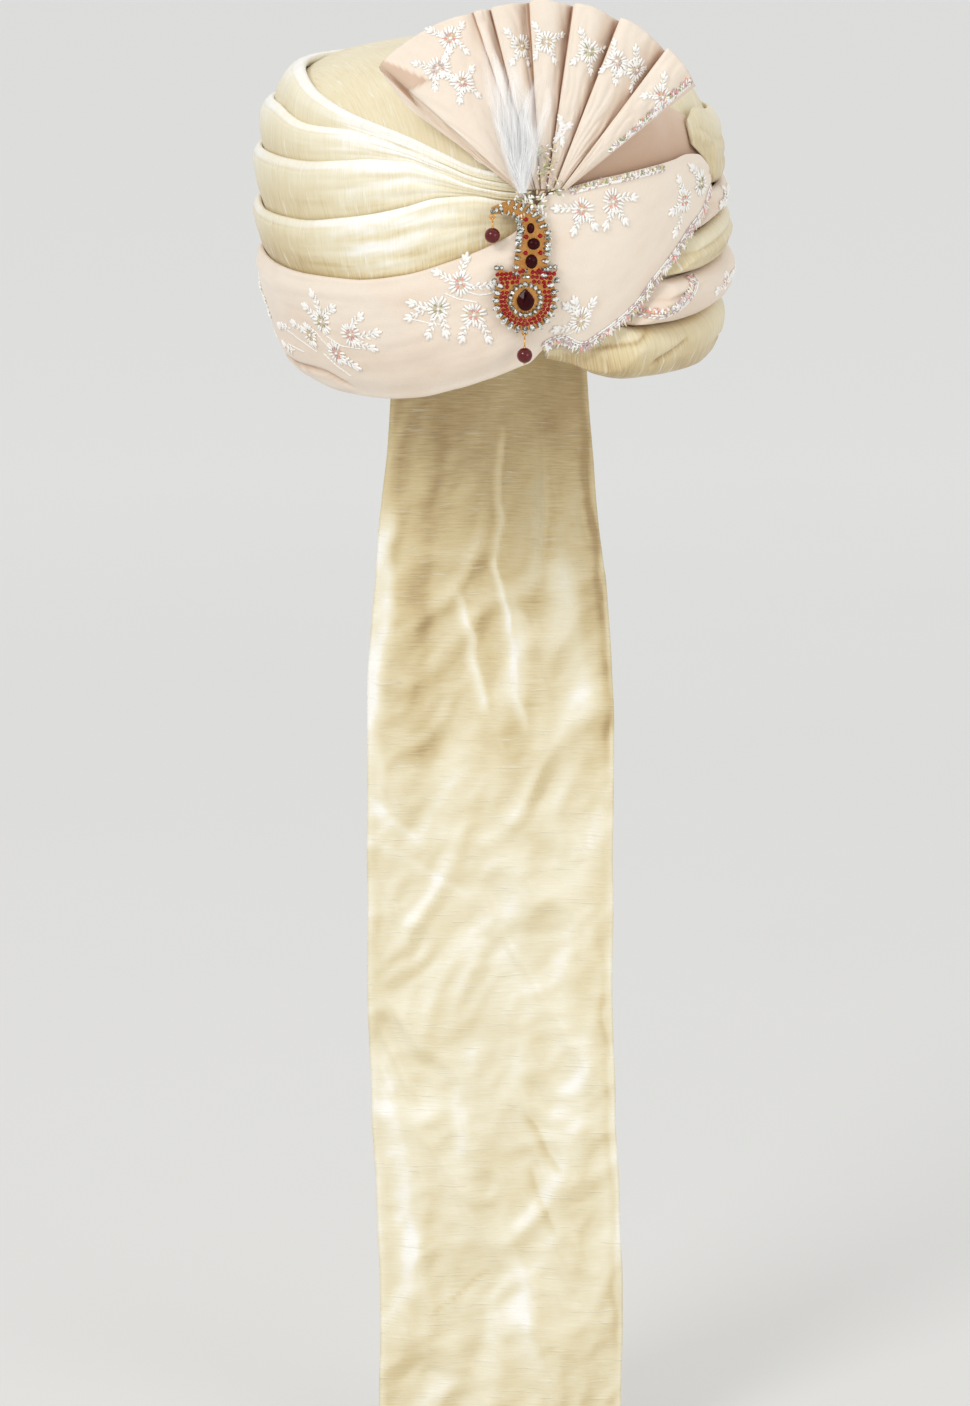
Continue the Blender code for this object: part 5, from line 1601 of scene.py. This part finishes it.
def onBrooch(name, bm, finish, slotName, smoothShading=False):
    bmesh.ops.transform(bm, matrix=broochPlace, verts=bm.verts)
    return finished(name, bm, finish, slotName, smoothShading)


def pearReach(turn, pinch):  # x and y of a drop's outline with its point up
    x, y = heading(turn)
    return x * (1 - pinch * max(0.0, y) ** 1.4), y


def turns(count, start=0.0):  # even steps round a circle
    return [2 * pi * k / count + start for k in range(count)]


def makeBrooch(s):
    r = s["radius"]
    jewel = Jeweller()
    bm = bmesh.new()
    raiseFace(bm, bm.faces.new([bm.verts.new((p.x, p.y, 0)) for p in plateOutline()]), s["plate"])
    rim = [e for e in bm.edges if all(abs(v.co.z - s["plate"]) < 1e-7 for v in e.verts)]
    bmesh.ops.bevel(bm, geom=rim, offset=0.0003, segments=2, profile=0.5, affect="EDGES", material=-1)
    bmesh.ops.recalc_face_normals(bm, faces=bm.faces)
    jewel.piles["plate"].add(bm)
    jewel.arc("clear", 150, 390, 17, r * 0.945, 0.00190, 0.0, 1.28)
    jewel.arc("clear", 90, 90 + 360 * 17 / 18, 18, r * 0.490, 0.00145, 0.0, 1.10)
    jewel.arc("red", 158, 382, 19, r * 0.655, 0.00118, 0.0)
    jewel.arc("red", 162, 378, 22, r * 0.782, 0.00112, 0.0)
    for side in (-1, 1):  # red wings with a clear stone at each tip
        for row, (count, start, reach) in enumerate(s["wings"]):
            for k, x in enumerate(spread(start, reach, count - 1)):
                jewel.set("red", side * r * x, r * (0.88 - 0.150 * row - 0.012 * k), 0.00122)
        for x, y, size in s["wingStones"]:
            jewel.set("clear", side * r * x, r * y, size)
    jewel.set("clear", 0, r * 0.93, 0.00115)
    for side, count in ((-1, 15), (1, 16)):
        for k in range(count):
            v = mix(0.03, 0.90, (k / (count - 1)) ** 1.15)
            edge, inward = stemInward(v, side, 0.0009)
            jewel.set("clear", *(edge + inward), mix(0.00170, 0.00120, smooth((v - 0.6) / 0.25)), 0.0, 1.3,
                      atan2(inward.y, inward.x))
            if side == 1 and 0.44 < v < 0.80:
                jewel.set("clear", *(edge + inward * 3.6), 0.00110)
        for v in spread(0.05, 0.86, 25):
            edge, inward = stemInward(v, side, mix(0.0034, 0.0024, smooth((v - 0.5) / 0.3)))
            jewel.grain(*(edge + inward), 0.00038)
    for v in spread(0.90, 0.99, 2):
        jewel.set("clear", *stemAt(v)[:2], 0.00125)
    for turn in turns(70):
        x, y = heading(turn, r * 0.575)
        jewel.grain(x, y * (1 if sin(turn) < 0.5 else 0.9), 0.00030)
    for x, y, halfWidth, halfHeight in s["cabochons"]:  # a beaded bezel round each cabochon
        for turn in turns(18):
            dx, dy = heading(turn, r * 1.12)
            jewel.grain(x * r + dx * halfWidth, y * r + dy * halfHeight, 0.00036)
    for x, y in s["redStones"]:
        jewel.cup(x * r, y * r, 0.0013)
    for turn in turns(30, pi / 2):
        x, y = pearReach(turn, 0.70)
        jewel.grain(0.31 * r * x, 0.39 * r * y, 0.00040)
    for at in ringPlaces():
        wireRing(jewel.piles["gold"], at, (0, 0, 1), s["eye"], s["wire"] * 1.2)
    for pile, (name, finish, slotName) in broochFinishes.items():
        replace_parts(onBrooch(name, jewel.piles[pile].all(), finish, slotName), "brooch")


def makeMainStones(s):
    r, base = s["radius"], s["plate"] + s["stoneGap"]
    bm = bmesh.new()
    for vert in bmesh.ops.create_circle(bm, cap_ends=True, segments=16, radius=1.0)["verts"]:
        x, y = pearReach(atan2(vert.co.y, vert.co.x), 0.72)
        vert.co = Vector((0.28 * r * x, 0.35 * r * y, base))
    bm.faces.ensure_lookup_table()
    face = raiseFace(bm, bm.faces[0], 0.0009)
    for depth, inset in ((0.0009, 0.0013), (0.0005, 0.0008)):
        bmesh.ops.inset_region(bm, faces=[face], thickness=inset, depth=0)
        bmesh.ops.translate(bm, verts=face.verts, vec=(0, 0, depth))
    bmesh.ops.recalc_face_normals(bm, faces=bm.faces)
    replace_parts(onBrooch("pearStone", bm, garnetStone, "garnet"), "pear_stone")
    for (x, y, halfWidth, halfHeight), level in zip(s["cabochons"], ("top", "middle", "lower")):
        bm = bmesh.new()
        bmesh.ops.create_uvsphere(bm, u_segments=28, v_segments=16, radius=1.0)
        bmesh.ops.bisect_plane(bm, geom=bm.verts[:] + bm.edges[:] + bm.faces[:], plane_co=(0, 0, 0),
                               plane_no=(0, 0, 1), clear_inner=True)
        closeHoles(bm)
        bmesh.ops.scale(bm, verts=bm.verts, vec=(halfWidth * r, halfHeight * r, 0.78 * halfWidth * r))
        bmesh.ops.translate(bm, verts=bm.verts, vec=(x * r, y * r, base))
        piece = onBrooch("cabochon" + level.title(), bm, garnetStone, "garnet", True)
        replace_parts(piece, "cabochon_" + level)
    bm = bmesh.new()
    drawn = random.Random(5)
    for x, y in s["redStones"]:
        spin = Matrix.Rotation(drawn.uniform(0, 3), 4, "Z")
        addCone(bm, 0.0013, 0.0007, 0.0008, 8, Matrix.Translation((x * r, y * r, base + 0.0009)) @ spin)
    stones = onBrooch("smallRedStones", bm, redStone, "red_bead")
    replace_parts(stones, *[f"red_stone_{i + 1}" for i in range(len(s["redStones"]))])


def makeDrops(s):
    for at, length, side in zip(ringPlaces(), (s["sideDrop"], s["bottomDrop"]), ("side", "bottom")):
        ring = broochPlace @ at
        eye, bead = ring - Vector((0, 0, s["eye"])), ring - Vector((0, 0, length))
        bm = bmesh.new()
        addBall(bm, s["bead"], 36, 20, Matrix.Translation(bead))
        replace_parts(finished(side + "DropBead", bm, redGlass, "red_bead"), side + "_drop_bead")
        pile = Pile()
        top, foot = eye.z - s["eye"], bead.z + 0.92 * s["bead"]
        pin = Matrix.Translation((bead.x, bead.y, (top + foot) / 2))
        addCone(pile.next(), s["wire"], s["wire"], top - foot, 10, pin)
        for rise in (s["bead"], -s["bead"]):
            addBall(pile.next(), 0.0008, 10, 6, Matrix.Translation((bead.x, bead.y, bead.z + rise)))
        wireRing(pile, eye, (1, 0, 0), s["eye"], s["wire"])
        finished(side + "DropPin", pile.all(), gilt, "gold_metal")


makeBrooch(broochSettings)
makeMainStones(broochSettings)
makeDrops(broochSettings)
print("turban: brooch set")


# studio

studioSettings = {
    "floorHeight": -0.66, "floorSize": 45.0, "nearShadeColour": (0.715, 0.71, 0.695),
    "farLightColour": (0.90, 0.90, 0.885), "world": 0.80,
    "key": ((-1.5, -2.3, 1.7), 1.1, 32.0), "fill": ((1.9, -2.2, 0.5), 1.8, 14.0),
    "top": ((-0.1, 0.4, 2.1), 1.2, 5.0),
}


def studioFinish(name, near, far):
    f = Finish(name, Specular_IOR_Level=0.05)
    clouds = f.noise(2.2, 3.0)
    depth = f.node("ShaderNodeSeparateXYZ", {}, {0: f.coordinates()}, 1)
    # painted light: the floor is darker near the turban and lighter far off, as the lamps fall off
    away = (depth * 0.22 + (clouds - 0.5) * 0.12 + 0.06).limited()
    f.feed("Base Color", f.mixed(away, near, far))
    f.feed("Roughness", 0.9 + (clouds - 0.5) * 0.1)
    return f.material


def makeStudio(s):
    bm = bmesh.new()
    bmesh.ops.create_grid(bm, x_segments=1, y_segments=1, size=s["floorSize"])
    bmesh.ops.translate(bm, verts=bm.verts, vec=(0, 0, s["floorHeight"]))
    mesh = bpy.data.meshes.new("studioFloor")
    bm.to_mesh(mesh)
    bm.free()
    mesh.materials.append(studioFinish("studioPaper", s["nearShadeColour"], s["farLightColour"]))
    stage = bpy.data.objects.new("studioFloor", mesh)
    bpy.context.scene.collection.objects.link(stage)
    for name in ("key", "fill", "top"):
        place, size, power = s[name]
        data = bpy.data.lights.new(name, "AREA")
        data.shape = "DISK"
        data.size = size
        data.energy = power
        lamp = bpy.data.objects.new(name, data)
        lamp.location = place
        lamp.rotation_euler = (Vector((0, 0, -0.05)) - Vector(place)).to_track_quat("-Z", "Y").to_euler()
        bpy.context.scene.collection.objects.link(lamp)
    world = bpy.data.worlds.new("world")
    world.use_nodes = True
    world.node_tree.nodes["Background"].inputs["Color"].default_value = (1, 1, 1, 1)
    world.node_tree.nodes["Background"].inputs["Strength"].default_value = s["world"]
    bpy.context.scene.world = world
    bpy.context.scene.view_settings.view_transform = "Standard"


makeStudio(studioSettings)
print("turban: studio lit")
